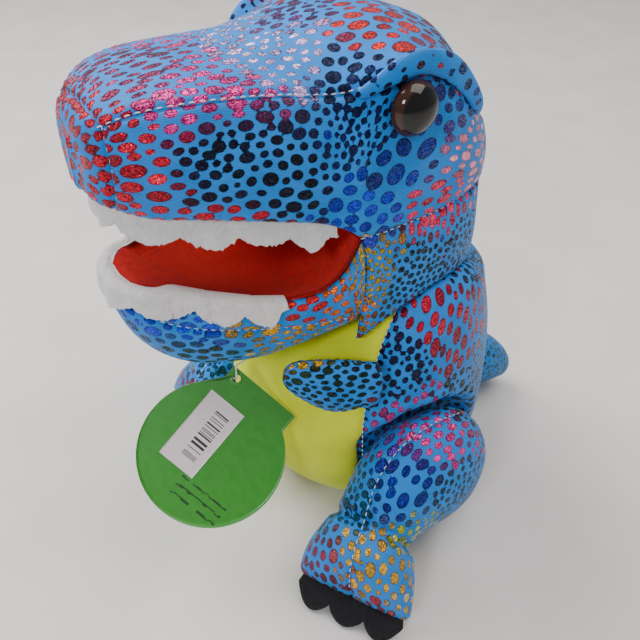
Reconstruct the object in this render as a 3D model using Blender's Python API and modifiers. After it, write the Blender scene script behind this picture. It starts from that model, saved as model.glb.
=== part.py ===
"""Stuffed dinosaur sitting on the floor: a sewn torso with a nodding head, a jaw, arms, legs and a tail,
and a folded card hang tag on a nylon fastener. It faces -Y, its left side is +X and the floor is z = 0."""

import math

import bmesh
import bpy
from mathutils import Matrix, Vector

MM = 0.001

# Fabric and clearances, in millimetres like every size below.
SKIN = 1.4  # knitted fabric with its backing
GAP = 0.35  # between fabric and filling, and between pieces that touch
LOOSE_GAP = 0.6  # where the fabric bends most over the filling
SEAM_GAP = 0.8  # between two panels at a seam
FELT = 1.2

# Torso: (height, half width, front, back) of its outline from the seat up.
TORSO_WIDTH = 62.0
TORSO_RINGS = (
    (SKIN, 0.20, 8.0, 22.0),
    (SKIN, 0.60, -34.0, 30.0),
    (5.0, 0.76, -47.0, 43.0),
    (18.0, 0.89, -60.0, 53.0),
    (38.0, 0.97, -69.5, 59.0),
    (60.0, 1.00, -74.0, 61.0),
    (82.0, 0.99, -73.0, 59.5),
    (102.0, 0.96, -66.0, 56.0),
    (118.0, 0.92, -56.0, 51.0),
    (129.0, 0.88, -45.0, 46.0),
    (136.5, 0.80, -36.0, 40.0),
)
DOME_SHARES = (0.78, 0.45, 0.15)
BELLY_ANGLE = 55.0  # from straight ahead to the belly seam
TORSO_SEGMENTS = 26

# Head nod: a hinge across the body. The shoulders lie inside a cylinder round it and the throat outside.
NOD_Y, NOD_Z, NOD_RADIUS = 5.0, 57.0, 83.0
SHOULDER_CLEARANCE = 3.4

# Head above the mouth: (y, half width at the top seam, seam height, crown height, half width of the cheek,
# half width at the lip, lip height).
HEAD_STATIONS = (
    (-133.5, 3.0, 221.0, 223.0, 4.0, 3.0, 211.0),
    (-132.5, 10.5, 228.0, 230.0, 12.0, 9.5, 205.0),
    (-129.0, 16.5, 231.0, 234.5, 18.5, 15.0, 202.0),
    (-121.0, 23.0, 235.0, 239.0, 26.0, 22.5, 199.5),
    (-108.0, 29.0, 237.0, 241.0, 33.5, 30.5, 198.0),
    (-92.0, 32.5, 236.5, 241.5, 38.0, 36.0, 194.5),
    (-76.0, 34.5, 234.5, 242.0, 41.0, 39.5, 190.0),
    (-62.0, 36.5, 232.0, 243.5, 43.5, 42.0, 185.5),
    (-52.0, 38.5, 231.0, 245.5, 45.0, 44.0, 180.0),
    (-46.0, 40.5, 232.0, 246.5, 46.0, 45.0, 175.5),
    (-38.0, 43.5, 235.5, 247.5, 47.5, 46.5, 175.8),
    (-28.0, 45.0, 237.0, 248.0, 48.5, 47.0, 176.0),
    (-14.0, 45.5, 231.5, 246.5, 49.0, 47.5, 176.5),
    (0.0, 44.5, 221.5, 242.0, 48.5, 46.5, 177.3),
    (9.0, 42.0, 213.0, 238.0, 46.5, 44.5, 178.0),
    (18.0, 36.5, 207.0, 230.5, 42.5, 41.0, 178.5),
    (29.0, 26.0, 201.0, 218.0, 31.0, 29.0, 179.5),
    (35.5, 10.0, 197.0, 204.0, 12.0, 11.0, 184.0),
)
NOSE_STATION = 2  # the nose panel ends at this station
CORNER_STATION = 9  # the corner of the mouth
CHEEK_SHARE = 0.42  # height of the widest place, from lip to top seam
PALATE_ARCH = 9.0

# Jaw: the same columns turned over: rim above, chin below.
JAW_STATIONS = (
    (-46.0, 45.0, 173.0, 43.5, 137.0, 125.0),
    (-52.0, 44.0, 162.0, 43.0, 138.0, 121.5),
    (-62.0, 42.0, 154.5, 40.5, 139.0, 117.0),
    (-76.0, 39.0, 154.5, 37.0, 141.0, 113.5),
    (-92.0, 34.5, 158.5, 32.0, 144.0, 115.0),
    (-108.0, 26.5, 163.0, 24.5, 147.0, 120.0),
    (-119.0, 18.5, 166.0, 17.0, 150.5, 129.0),
    (-126.0, 11.0, 166.5, 9.5, 154.0, 140.0),
    (-129.5, 4.0, 165.0, 3.5, 158.0, 151.0),
)
JAW_FLOOR = 9.0  # how far the mouth lining dips below the rim
JAW_BEND_Y = -118.0  # where the rim starts to turn round the tip

# Throat, below the cheek seam and behind the mouth: (y, half width at the cheek seam, half width at the crease).
THROAT_ROWS = (
    (-45.2, 44.5, 43.5),
    (-30.0, 46.5, 47.0),
    (-12.0, 47.0, 48.0),
    (4.0, 45.5, 46.5),
    (18.0, 40.5, 41.0),
    (29.0, 28.5, 29.0),
    (35.0, 12.0, 12.0),
)

# Eye: a domed safety eye on a shank, with a washer behind the fabric.
EYE_RADIUS, EYE_HEIGHT = 10.0, 7.0
EYE_Y, EYE_Z = -30.0, 225.0
SHANK_RADIUS, SHANK_PAST_WASHER = 2.0, 2.0
WASHER_RADIUS, WASHER_THICKNESS = 8.0, 1.5
BROW_LINE = ((-48.0, 231.5), (-40.0, 237.5), (-29.0, 241.0), (-14.0, 236.5), (0.0, 225.0), (9.5, 212.5))

BROW_PUFF = (1.2, 2.6, 3.6, 3.8, 3.2, 2.0)

# Felt teeth.
TOOTH_DEPTH, TOOTH_VALLEY = 11.0, 6.0
UPPER_TEETH, LOWER_TEETH = 9, 7

# Legs: (centre x, y, z, half width, half height) of sections from the back of the thigh to the toe seam.
HIP_X, HIP_Y, HIP_Z, HIP_POCKET = 49.0, -17.0, 41.0, 38.0
LEG_SECTIONS = (
    ((66.0, 15.0, 38.0), (0.0, -1.0, 0.0), 5.0, 8.0),
    ((66.5, 11.0, 39.0), (0.0, -1.0, 0.0), 12.0, 19.0),
    ((67.0, 1.0, 40.5), (0.0, -1.0, 0.0), 18.0, 27.5),
    ((68.0, -13.0, 41.5), (0.0, -1.0, -0.05), 20.5, 31.0),
    ((68.0, -27.0, 41.5), (0.03, -1.0, -0.1), 21.0, 30.5),
    ((69.0, -40.0, 38.5), (0.1, -1.0, -0.4), 20.5, 25.0),
    ((71.0, -50.0, 33.5), (0.25, -1.0, -0.55), 18.5, 18.5),
    ((73.5, -56.0, 30.0), (0.4, -1.0, -0.6), 18.5, 17.5),
    ((77.0, -62.5, 25.5), (0.5, -1.0, -0.75), 22.5, 20.0),
    ((81.0, -69.0, 19.5), (0.5, -1.0, -0.85), 25.5, 16.5),
    ((84.3, -74.0, 13.8), (0.5, -1.0, -0.8), 26.8, 10.0),
    ((86.0, -76.5, 11.0), (0.5, -1.0, -0.6), 26.5, 4.5),
)
RIGHT_TURN_IN, FIRST_TURNED, LAST_TURNED = 27.0, 4, 8  # the right foot points more to the front
TOE_REACH, TOE_WIDTH, TOE_PLY, TOE_SLOPE = 15.5, 54.0, 3.0, -0.82

# Arms: flat stuffed flaps sewn along the belly seam, outline as (reach, height above the root's middle).
ARM_ROOT = (54.5, -44.5, 104.0)
ARM_POINTING = (-0.6, -0.8, 0.05)
ARM_HALF_THICKNESS = 5.0
ARM_SECTIONS = (
    (4.0, -14.0, 13.0, 0.75),
    (12.0, -17.0, 13.5, 1.0),
    (20.0, -16.5, 13.0, 1.0),
    (28.0, -12.0, 12.0, 0.9),
    (35.0, -6.0, 10.0, 0.7),
    (38.5, -1.0, 6.0, 0.3),
)

# Tail: a stub in a round socket in the back, (y, x, z, half width, half height).
TAIL_PIVOT_Y, TAIL_ROOT_RADIUS = 52.0, 23.0
TAIL_SECTIONS = (
    (30.0, 0.0, 31.0, 0.0, 15.0),
    (34.0, 0.0, 31.0, 0.0, 19.5),
    (42.0, 0.0, 31.0, 0.0, 23.0),
    (52.0, 0.0, 31.0, 22.2, 24.0),
    (64.0, 1.5, 29.5, 21.5, 23.5),
    (76.0, 5.0, 26.5, 18.5, 20.5),
    (87.0, 10.0, 22.0, 13.5, 15.5),
    (95.0, 14.5, 18.0, 7.5, 9.0),
    (98.0, 16.5, 16.5, 2.5, 3.0),
)

# Hang tag: two card leaves joined at a fold, hung by one corner.
TAG_RADIUS, TAG_CARD = 34.0, 0.5
TAG_NECK_HALF, TAG_FOLD = 0.54, 1.12  # shares of the radius
TAG_HOLE = (8.0, -86.5, 95.5)
TAG_HOLE_RADIUS = 1.8
TAG_FACING = (0.70, -0.38, 0.60)
STICKER = (37.0, 19.5, 0.15)
FASTENER_RADIUS = 0.45


def clear_scene():
    for thing in list(bpy.data.objects):
        bpy.data.objects.remove(thing, do_unlink=True)


clear_scene()
dinosaur = bpy.data.collections.new("stuffed_dinosaur")
cutters = bpy.data.collections.new("cutters")
cutters.hide_render = True
bpy.context.scene.collection.children.link(dinosaur)
bpy.context.scene.collection.children.link(cutters)


def material(name, colour, roughness=0.8):
    made = bpy.data.materials.new(name)
    made.use_nodes = True
    shader = made.node_tree.nodes["Principled BSDF"]
    shader.inputs["Base Color"].default_value = (*colour, 1.0)
    shader.inputs["Roughness"].default_value = roughness
    return made


BLUE = (0.012, 0.234, 0.61)
BLUE_PRINT = (0.02, 0.18, 0.45)
YELLOW = (0.58, 0.61, 0.024)
RED = (0.55, 0.006, 0.005)
WHITE = (0.81, 0.78, 0.78)
FILLING = (0.85, 0.85, 0.83)


def add(name, mesh, colour, roughness=0.8):
    """A named object in the dinosaur's collection, with its own material and smooth faces."""
    thing = bpy.data.objects.new(name, mesh)
    mesh.materials.append(material(name + "_material", colour, roughness))
    for face in mesh.polygons:
        face.use_smooth = True
    dinosaur.objects.link(thing)
    return thing


def grid_mesh(name, rows, closed, caps=(False, False)):
    """Triangles between rows of points. A closed row joins its last point to its first."""
    bm = bmesh.new()
    grid = [[bm.verts.new(Vector(p) * MM) for p in row] for row in rows]
    across = len(rows[0]) if closed else len(rows[0]) - 1
    for lower, upper in zip(grid, grid[1:]):
        for j in range(across):
            k = (j + 1) % len(lower)
            bm.faces.new((lower[j], lower[k], upper[k]))
            bm.faces.new((lower[j], upper[k], upper[j]))
    for wanted, row in zip(caps, (grid[0], grid[-1])):
        if wanted:
            bmesh.ops.triangulate(bm, faces=[bm.faces.new(row)])
    bmesh.ops.recalc_face_normals(bm, faces=bm.faces)
    mesh = bpy.data.meshes.new(name)
    bm.to_mesh(mesh)
    bm.free()
    return mesh


def shrink(mesh, distance):
    """Moves every face of a closed mesh inwards by a distance."""
    bm = bmesh.new()
    bm.from_mesh(mesh)
    moves = [(v, v.normal * min(v.calc_shell_factor(), 1.6) * distance * MM) for v in bm.verts]
    for vertex, move in moves:
        vertex.co -= move
    bm.to_mesh(mesh)
    bm.free()


def filling(name, rows, gap=GAP):
    """A closed soft solid, clear of the fabric round it."""
    mesh = grid_mesh(name, rows, True, (True, True))
    shrink(mesh, gap)
    return add(name, mesh, FILLING, 0.95)


def panel(name, rows, outward, colour, thickness=SKIN, roughness=0.55):
    """Fabric cut to a patch of surface and given its thickness on the outer side."""
    mesh = grid_mesh(name, rows, False)
    middle = mesh.polygons[len(mesh.polygons) // 2]
    if middle.normal.dot(Vector(outward)) < 0:
        mesh.flip_normals()
    thing = add(name, mesh, colour, roughness)
    solid = thing.modifiers.new("thickness", "SOLIDIFY")
    solid.thickness = thickness * MM
    solid.offset = 1.0
    solid.use_even_offset = True
    solid.thickness_clamp = 0.0
    return thing


def cut(thing, cutter, name="opening"):
    boolean = thing.modifiers.new(name, "BOOLEAN")
    boolean.operation = "DIFFERENCE"
    boolean.solver = "EXACT"
    boolean.object = cutter


def cutting_cylinder(name, centre, axis, radius, depth, segments=32):
    bm = bmesh.new()
    bmesh.ops.create_cone(
        bm, cap_ends=True, segments=segments, radius1=radius * MM, radius2=radius * MM, depth=depth * MM
    )
    mesh = bpy.data.meshes.new(name)
    bm.to_mesh(mesh)
    bm.free()
    turn = Vector((0, 0, 1)).rotation_difference(Vector(axis)).to_matrix().to_4x4()
    mesh.transform(Matrix.Translation(Vector(centre) * MM) @ turn)
    thing = bpy.data.objects.new(name, mesh)
    thing.display_type = "WIRE"
    thing.hide_render = True
    cutters.objects.link(thing)
    return thing


def patch(rings, first, last):
    """Part of every ring, from one place to another counted round it."""
    return [[ring[k % len(ring)] for k in range(first, last + 1)] for ring in rings]


def mirror_rows(rows):
    return [[(-x, y, z) for x, y, z in row] for row in rows]


def pull_in(row, distance):
    """The row with its two ends moved along it, so that a seam stays open by the distance."""
    moved = [Vector(p) for p in row]
    for end, inner in ((0, 1), (-1, -2)):
        along = moved[inner] - moved[end]
        moved[end] = moved[end] + along.normalized() * min(distance, 0.3 * along.length)
    return [tuple(p) for p in moved]


def pull_in_rows(rows, distance, first=True, last=True):
    """The patch with its first and last rows moved into it."""
    made = [list(row) for row in rows]
    for wanted, end, inner in ((first, 0, 1), (last, -1, -2)):
        if not wanted:
            continue
        edge = []
        for p, q in zip(rows[end], rows[inner]):
            along = Vector(q) - Vector(p)
            edge.append(tuple(Vector(p) + along.normalized() * min(distance, 0.3 * along.length)))
        made[end] = edge
    return made


# Torso -----------------------------------------------------------------------------------------
def dome_height(y, radius):
    return NOD_Z + math.sqrt(max(radius**2 - (y - NOD_Y) ** 2, 0.0))


def torso_point(ring, angle):
    """A point of the torso's outline, the angle counted from straight ahead towards the left side."""
    height, share, front, back = ring
    middle, reach = (front + back) / 2, (back - front) / 2
    x = share * TORSO_WIDTH * math.sin(angle)
    y = middle - reach * math.cos(angle)
    return (x, y, min(height, dome_height(y, NOD_RADIUS - SHOULDER_CLEARANCE)))


def torso_rings():
    rings = list(TORSO_RINGS)
    _, share, front, back = rings[-1]
    middle, reach = (front + back) / 2, (back - front) / 2
    for part in DOME_SHARES:
        rings.append((200.0, share * part, middle - reach * part, middle + reach * part))
    return rings


def angles(first, last, steps):
    return [math.radians(first + (last - first) * k / steps) for k in range(steps + 1)]


belly_steps, side_steps = 8, (TORSO_SEGMENTS - 8) // 2
belly_angles = angles(-BELLY_ANGLE, BELLY_ANGLE, belly_steps)
side_angles = angles(BELLY_ANGLE, 180.0, side_steps)
round_torso = belly_angles + side_angles[1:] + [a + math.pi for a in angles(0.0, 180.0 - BELLY_ANGLE, side_steps)][1:-1]
rings = torso_rings()

torso_rows = [[torso_point(r, a) for a in round_torso] for r in rings]
torso_stuffing = filling("torso_stuffing", torso_rows, LOOSE_GAP)
covered = torso_rows[: len(TORSO_RINGS)]
half_way = belly_steps + side_steps
belly_rows = [pull_in(row, SEAM_GAP / 2) for row in patch(covered, 0, belly_steps)]
belly_panel = panel("belly_panel", belly_rows, (0, -1, 0), YELLOW, roughness=0.7)
left_rows = [pull_in(row, SEAM_GAP / 2) for row in patch(covered, belly_steps, half_way)]
torso_side_left = panel("torso_side_left", left_rows, (1, 0, 0), BLUE)
right_rows = [pull_in(row, SEAM_GAP / 2) for row in patch(covered, half_way, half_way + side_steps)]
torso_side_right = panel("torso_side_right", right_rows, (-1, 0, 0), BLUE)

tail_socket = cutting_cylinder(
    "tail_socket", (0, TAIL_PIVOT_Y, 31.0), (0, 0, 1), TAIL_ROOT_RADIUS + 2 * GAP, 54.0
)
for side, name in ((1, "left"), (-1, "right")):
    pocket = cutting_cylinder(
        "hip_pocket_" + name, (side * (HIP_X + 30.0), HIP_Y, HIP_Z), (1, 0, 0), HIP_POCKET, 60.0
    )
    cut(torso_stuffing, pocket, "hip_" + name)
    cut(belly_panel, pocket, "hip_" + name)
    cut(torso_side_left if side > 0 else torso_side_right, pocket, "hip")
for thing in (torso_stuffing, torso_side_left, torso_side_right):
    cut(thing, tail_socket, "tail")


# Head ------------------------------------------------------------------------------------------
def half_section(station):
    """The left half of a section of the head, from the crown over the cheek and lip to the palate."""
    y, seam_half, seam, crown, cheek, lip_half, lip = station
    made = []
    for share in (0.0, 0.3, 0.6, 0.84):
        made.append((seam_half * share, y, seam + (crown - seam) * (1 - share**2.2)))
    made.append((seam_half, y, seam))
    cheek_z = lip + (seam - lip) * CHEEK_SHARE
    for share in (0.3, 0.6):
        x = cheek + (seam_half - cheek) * (1 - share) ** 1.7
        made.append((x, y, seam + (cheek_z - seam) * share))
    made.append((cheek, y, cheek_z))
    made.append((lip_half + (cheek - lip_half) * 0.65, y, lip + (cheek_z - lip) * 0.45))
    made.append((lip_half, y, lip))
    return made


TOP_LAST, LIP = 4, 9  # places of the top seam and the lip in a half section


def palate_arch(y):
    """How far the roof of the mouth rises above the lip: none at the nose and behind the corners."""
    share = (y - HEAD_STATIONS[1][0]) / (HEAD_STATIONS[CORNER_STATION][0] - HEAD_STATIONS[1][0])
    return PALATE_ARCH * math.sin(math.pi * share) if 0 < share < 1 else 0.0


def palate_points(station):
    y, lip_half, lip = station[0], station[5], station[6]
    arch = palate_arch(y)
    return [(lip_half * share, y, lip + arch * (1 - share**2)) for share in (0.66, 0.33, 0.0)]


head_rows = []
for station in HEAD_STATIONS:
    half = half_section(station) + palate_points(station)
    head_rows.append(half + [(-x, y, z) for x, y, z in half[-2:0:-1]])
head_stuffing = filling("head_stuffing", head_rows)


def seamed(rows, first=True, last=False):
    """A patch of rows drawn in from its seams."""
    return pull_in_rows([pull_in(row, SEAM_GAP / 2) for row in rows], SEAM_GAP / 2, first, last)


behind_nose = head_rows[NOSE_STATION:]
ring_size = len(head_rows[0])
panel("head_top_panel", seamed(patch(behind_nose, -TOP_LAST, TOP_LAST)), (0, 0, 1), BLUE)
left_face = seamed(patch(behind_nose, TOP_LAST, LIP))
face_side_left = panel("face_side_left", left_face, (1, 0, 0), BLUE)
right_face = seamed(patch(behind_nose, ring_size - LIP, ring_size - TOP_LAST))
face_side_right = panel("face_side_right", right_face, (-1, 0, 0), BLUE)
nose_rows = pull_in_rows(patch(head_rows[: NOSE_STATION + 1], -LIP, LIP), SEAM_GAP / 2, False, True)
panel("nose_panel", nose_rows, (0, -1, 0), BLUE)

palate_rows = []
for station in HEAD_STATIONS[NOSE_STATION : CORNER_STATION + 1]:
    left = palate_points(station)[:2]
    edge = station[5] - SKIN - GAP
    across = [(edge, station[0], station[6])] + left + [palate_points(station)[2]]
    across = [(x, y, z - 2 * GAP) for x, y, z in across]
    palate_rows.append(across + [(-x, y, z) for x, y, z in across[-2::-1]])
palate_rows = pull_in_rows(palate_rows, 1.5)
panel("palate_lining", palate_rows, (0, 0, -1), RED, thickness=FELT, roughness=0.9)


# Throat ----------------------------------------------------------------------------------------
def cheek_seam(y):
    """Height of the cheek seam behind the corner of the mouth."""
    rows = [(s[0], s[6]) for s in HEAD_STATIONS[CORNER_STATION:]]
    for (y0, z0), (y1, z1) in zip(rows, rows[1:]):
        if y <= y1:
            return z0 + (z1 - z0) * max(y - y0, 0.0) / (y1 - y0)
    return rows[-1][1]


def throat_level(share):
    """The left half outline of the throat, from its front corner to the back, at a share of its height."""
    made = []
    for y, upper, lower in THROAT_ROWS:
        bottom = dome_height(y, NOD_RADIUS)
        top = cheek_seam(y) - 2 * GAP
        bulge = 1.6 * math.sin(math.pi * share)
        made.append((lower + (upper - lower) * share + bulge, y, bottom + (top - bottom) * share))
    return made


throat_shares = (0.0, 0.22, 0.5, 0.78, 1.0)


def block_mesh(name, levels):
    """A closed block from outlines one above another. Its ends join the left and right of each outline."""
    bm = bmesh.new()
    left = [[bm.verts.new(Vector(p) * MM) for p in level] for level in levels]
    right = [[bm.verts.new(Vector((-p[0], p[1], p[2])) * MM) for p in level] for level in levels]
    for a, b in zip(range(len(levels)), range(1, len(levels))):
        for i in range(len(levels[0]) - 1):
            for rows in (left, right):
                bm.faces.new((rows[a][i], rows[a][i + 1], rows[b][i + 1]))
                bm.faces.new((rows[a][i], rows[b][i + 1], rows[b][i]))
        for i in (0, -1):
            bm.faces.new((left[a][i], right[a][i], right[b][i], left[b][i]))
    for level in (0, -1):
        for i in range(len(levels[0]) - 1):
            bm.faces.new((left[level][i], left[level][i + 1], right[level][i + 1], right[level][i]))
    bmesh.ops.recalc_face_normals(bm, faces=bm.faces)
    mesh = bpy.data.meshes.new(name)
    bm.to_mesh(mesh)
    bm.free()
    return mesh


throat_mesh = block_mesh("throat_stuffing", [throat_level(s) for s in throat_shares])
shrink(throat_mesh, GAP)
add("throat_stuffing", throat_mesh, FILLING, 0.95)
throat_rows = [pull_in(throat_level(s), SEAM_GAP / 2) for s in throat_shares]
throat_rows = pull_in_rows(throat_rows, SEAM_GAP / 2, True, True)
panel("throat_panel_left", throat_rows, (1, 0, 0), BLUE)
panel("throat_panel_right", mirror_rows(throat_rows), (-1, 0, 0), BLUE)


# Eyes and brows --------------------------------------------------------------------------------
def cheek_surface(y, z):
    """Half width of the face at a place on its side."""
    for before, after in zip(HEAD_STATIONS, HEAD_STATIONS[1:]):
        if y <= after[0]:
            break
    share = (y - before[0]) / (after[0] - before[0])
    station = [a + (b - a) * share for a, b in zip(before, after)]
    side = half_section(station)[TOP_LAST : LIP + 1]
    for (x0, _, z0), (x1, _, z1) in zip(side, side[1:]):
        if z >= z1:
            return x0 + (x1 - x0) * (z0 - z) / (z0 - z1)
    return side[-1][0]


def turned(profile, name, centre, axis, flip=False, segments=24):
    """A round solid from (radius, distance along the axis) pairs, made with the Screw modifier."""
    mesh = bpy.data.meshes.new(name)
    points = [(r * MM, 0.0, d * MM) for r, d in profile]
    mesh.from_pydata(points, [(i, i + 1) for i in range(len(points) - 1)], [])
    thing = bpy.data.objects.new(name, mesh)
    thing.location = Vector(centre) * MM
    thing.rotation_mode = "QUATERNION"
    thing.rotation_quaternion = Vector((0, 0, 1)).rotation_difference(Vector(axis))
    screw = thing.modifiers.new("turned", "SCREW")
    screw.steps = screw.render_steps = segments
    screw.use_merge_vertices = True
    screw.merge_threshold = 0.00001
    screw.use_normal_calculate = True
    screw.use_normal_flip = flip
    dinosaur.objects.link(thing)
    return thing


eye_reach = (0.0, EYE_RADIUS * 0.7, -EYE_RADIUS * 0.7, EYE_RADIUS, -EYE_RADIUS)
eye_base = max(cheek_surface(EYE_Y + dy, EYE_Z + dz) for dy in eye_reach for dz in eye_reach) + SKIN + 2 * GAP
washer_reach = (0.0, WASHER_RADIUS * 0.75, -WASHER_RADIUS * 0.75, WASHER_RADIUS, -WASHER_RADIUS)
washer_rest = min(cheek_surface(EYE_Y + dy, EYE_Z + dz) for dy in washer_reach for dz in washer_reach)
washer_x = washer_rest - 2 * GAP - WASHER_THICKNESS
shank_end = washer_x - SHANK_PAST_WASHER - eye_base
room_depth = SHANK_PAST_WASHER + 2 * GAP
for side, name in ((1, "left"), (-1, "right")):
    dome = [(EYE_RADIUS * math.cos(a), EYE_HEIGHT * math.sin(a)) for a in angles(0.0, 90.0, 6)]
    dome[-1] = (0.0, EYE_HEIGHT)
    profile = [(0.0, shank_end), (SHANK_RADIUS, shank_end), (SHANK_RADIUS, 0.0), (EYE_RADIUS - 0.6, 0.0)]
    profile += [(EYE_RADIUS, 0.8)] + [(r, 0.8 + d) for r, d in dome[1:]]
    eye = turned(profile, "eye_" + name, (side * eye_base, EYE_Y, EYE_Z), (side, 0, 0))
    eye.data.materials.append(material("eye_%s_material" % name, (0.03, 0.012, 0.008), 0.05))
    inner = SHANK_RADIUS + GAP
    ring = [
        (inner, 0.0),
        (inner, WASHER_THICKNESS),
        (WASHER_RADIUS, WASHER_THICKNESS),
        (WASHER_RADIUS, 0.0),
        (inner, 0.0),
    ]
    washer = turned(ring, "eye_washer_" + name, (side * washer_x, EYE_Y, EYE_Z), (side, 0, 0), True)
    washer.data.materials.append(material("eye_washer_%s_material" % name, (0.8, 0.8, 0.78), 0.4))
    hole = cutting_cylinder("eye_hole_" + name, (side * washer_rest, EYE_Y, EYE_Z), (1, 0, 0), inner, 24.0, 24)
    cut(face_side_left if side > 0 else face_side_right, hole, "eye_hole")
    room = cutting_cylinder(
        "washer_room_" + name,
        (side * (washer_x - room_depth + 12.0), EYE_Y, EYE_Z),
        (1, 0, 0),
        WASHER_RADIUS + 2 * GAP,
        24.0,
        24,
    )
    cut(head_stuffing, room, "washer_room_" + name)

    brow = bpy.data.curves.new("brow_fold_" + name, "CURVE")
    brow.dimensions = "3D"
    brow.bevel_depth = 1.0 * MM
    brow.bevel_resolution = 2
    brow.use_fill_caps = True
    brow.resolution_u = 3
    line = brow.splines.new("NURBS")
    line.points.add(len(BROW_LINE) - 1)
    line.use_endpoint_u = True
    line.order_u = 3
    for place, point in enumerate(BROW_LINE):
        reach = BROW_PUFF[place]
        spot_y, spot_z = point
        near = [cheek_surface(spot_y + dy, spot_z + dz) for dy in (-reach, 0, reach) for dz in (-reach, 0, reach)]
        line.points[place].co = (
            side * (max(near) + SKIN + reach + 3 * GAP) * MM,
            spot_y * MM,
            spot_z * MM,
            1.0,
        )
        line.points[place].radius = reach
    brow_object = bpy.data.objects.new("brow_fold_" + name, brow)
    brow.materials.append(material("brow_fold_%s_material" % name, BLUE_PRINT, 0.55))
    dinosaur.objects.link(brow_object)


# Jaw -------------------------------------------------------------------------------------------
def jaw_half(station):
    """The left half of a section of the jaw from the rim down the side and chin to the middle below."""
    y, rim_half, rim, seam_half, seam, chin = station
    made = [(rim_half, y, rim)]
    for share in (0.35, 0.7):
        x = rim_half + (seam_half - rim_half) * share + 1.5 * math.sin(math.pi * share) * rim_half / 45.0
        made.append((x, y, rim + (seam - rim) * share))
    made.append((seam_half, y, seam))
    for share in (0.8, 0.55, 0.28, 0.0):
        made.append((seam_half * share, y, chin + (seam - chin) * (share**3.2) * 0.9))
    return made


def jaw_lining(station):
    y, rim_half, rim = station[:3]
    length = (JAW_STATIONS[0][0] - y) / (JAW_STATIONS[0][0] - JAW_STATIONS[-1][0])
    dip = JAW_FLOOR * math.sin(math.pi * min(max(length, 0.0), 1.0)) * 0.9
    return [(rim_half * share, y, rim - dip * (1 - share**2)) for share in (0.0, 0.35, 0.7)]


JAW_RIM, JAW_SEAM = 3, 6  # places of the rim and the chin seam in a half section
jaw_rows, lining_rows = [], []
for station in JAW_STATIONS:
    half = jaw_lining(station) + jaw_half(station)
    jaw_rows.append(half + [(-x, y, z) for x, y, z in half[-2:0:-1]])
    edge = max(station[1] - SKIN - 2 * GAP, station[1] * 0.72)
    inside = [(edge, station[0], station[2])] + jaw_lining(station)[::-1]
    inside = [(x, y, z + 2 * GAP) for x, y, z in inside]
    lining_rows.append(inside + [(-x, y, z) for x, y, z in inside[-2::-1]])
filling("jaw_stuffing", jaw_rows, LOOSE_GAP)
around = len(jaw_rows[0])
panel("jaw_side_left", seamed(patch(jaw_rows, JAW_RIM, JAW_SEAM), False), (1, 0, 0), BLUE)
panel(
    "jaw_side_right", seamed(patch(jaw_rows, around - JAW_SEAM, around - JAW_RIM), False), (-1, 0, 0), BLUE
)
panel("chin_panel", seamed(patch(jaw_rows, JAW_SEAM, around - JAW_SEAM), False), (0, 0, -1), BLUE)
panel(
    "lower_mouth_lining", pull_in_rows(lining_rows, 1.0), (0, 0, 1), RED, thickness=FELT, roughness=0.9
)


# Felt teeth ------------------------------------------------------------------------------------
def between(stations, y):
    for before, after in zip(stations, stations[1:]):
        if min(before[0], after[0]) <= y <= max(before[0], after[0]):
            share = (y - before[0]) / (after[0] - before[0])
            return [a + (b - a) * share for a, b in zip(before, after)]
    return list(stations[-1])


def teeth(name, edge, count, grow):
    """A strip of felt along an edge of the mouth, cut in rounded teeth that hang down."""
    per_tooth = 4
    total = count * per_tooth
    upper_row, lower_row = [], []
    for k in range(total + 1):
        x, y, z, out = edge(2.0 * k / total - 1.0)
        wave = math.sin(math.pi * (k % per_tooth) / per_tooth)
        depth = TOOTH_VALLEY + (TOOTH_DEPTH - TOOTH_VALLEY) * wave
        depth *= grow(abs(2.0 * k / total - 1.0))
        upper_row.append((x, y, z))
        lower_row.append((x + out[0] * 0.6, y + out[1] * 0.6, z - depth))
    middle_row = [tuple((Vector(a) * 0.5 + Vector(b) * 0.5)) for a, b in zip(upper_row, lower_row)]
    return panel(name, [upper_row, middle_row, lower_row], (0, -1, 0), WHITE, thickness=FELT, roughness=0.95)


def upper_edge(place):
    """Along the upper lip from the right corner (-1) past the nose to the left corner (1)."""
    side, away = (1 if place >= 0 else -1), abs(place)
    first, last = -127.0, -56.0
    if away < 0.16:
        half = between(HEAD_STATIONS, first)[5] - 1.0
        share = away / 0.16
        y = first - 3.2 * (1 - share**2)
        return side * half * share * 0.94, y, between(HEAD_STATIONS, first)[6] - 2.6, (0, -1)
    y = first + (last - first) * (away - 0.16) / 0.84
    station = between(HEAD_STATIONS, y)
    return side * (station[5] - 1.2), y, station[6] - 2.4 + 0.4 * away, (side, 0)


def lower_edge(place):
    """Along the jaw's rim outside the fabric, from the right side past the tip to the left side."""
    side, away = (1 if place >= 0 else -1), abs(place)
    outside = SKIN + 3 * GAP
    last = -74.0
    angle = min(away / 0.3, 1.0)
    if away < 0.3:
        station = between(JAW_STATIONS, JAW_BEND_Y)
        turn = angle * math.pi / 2
        half = station[1] + outside
        y = JAW_BEND_Y - (JAW_BEND_Y - JAW_STATIONS[-1][0] + outside + 1.0) * math.cos(turn)
        return side * half * math.sin(turn), y, station[2] + 0.5, (0, -1)
    y = JAW_BEND_Y + (last - JAW_BEND_Y) * (away - 0.3) / 0.7
    station = between(JAW_STATIONS, y)
    return side * (station[1] + outside + 0.8), y, station[2] + 1.0, (side, 0)


teeth("upper_teeth", upper_edge, UPPER_TEETH, lambda a: 1.0 if a < 0.75 else 1.0 - 1.6 * (a - 0.75))
teeth("lower_teeth", lower_edge, LOWER_TEETH, lambda a: 1.0)


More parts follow.
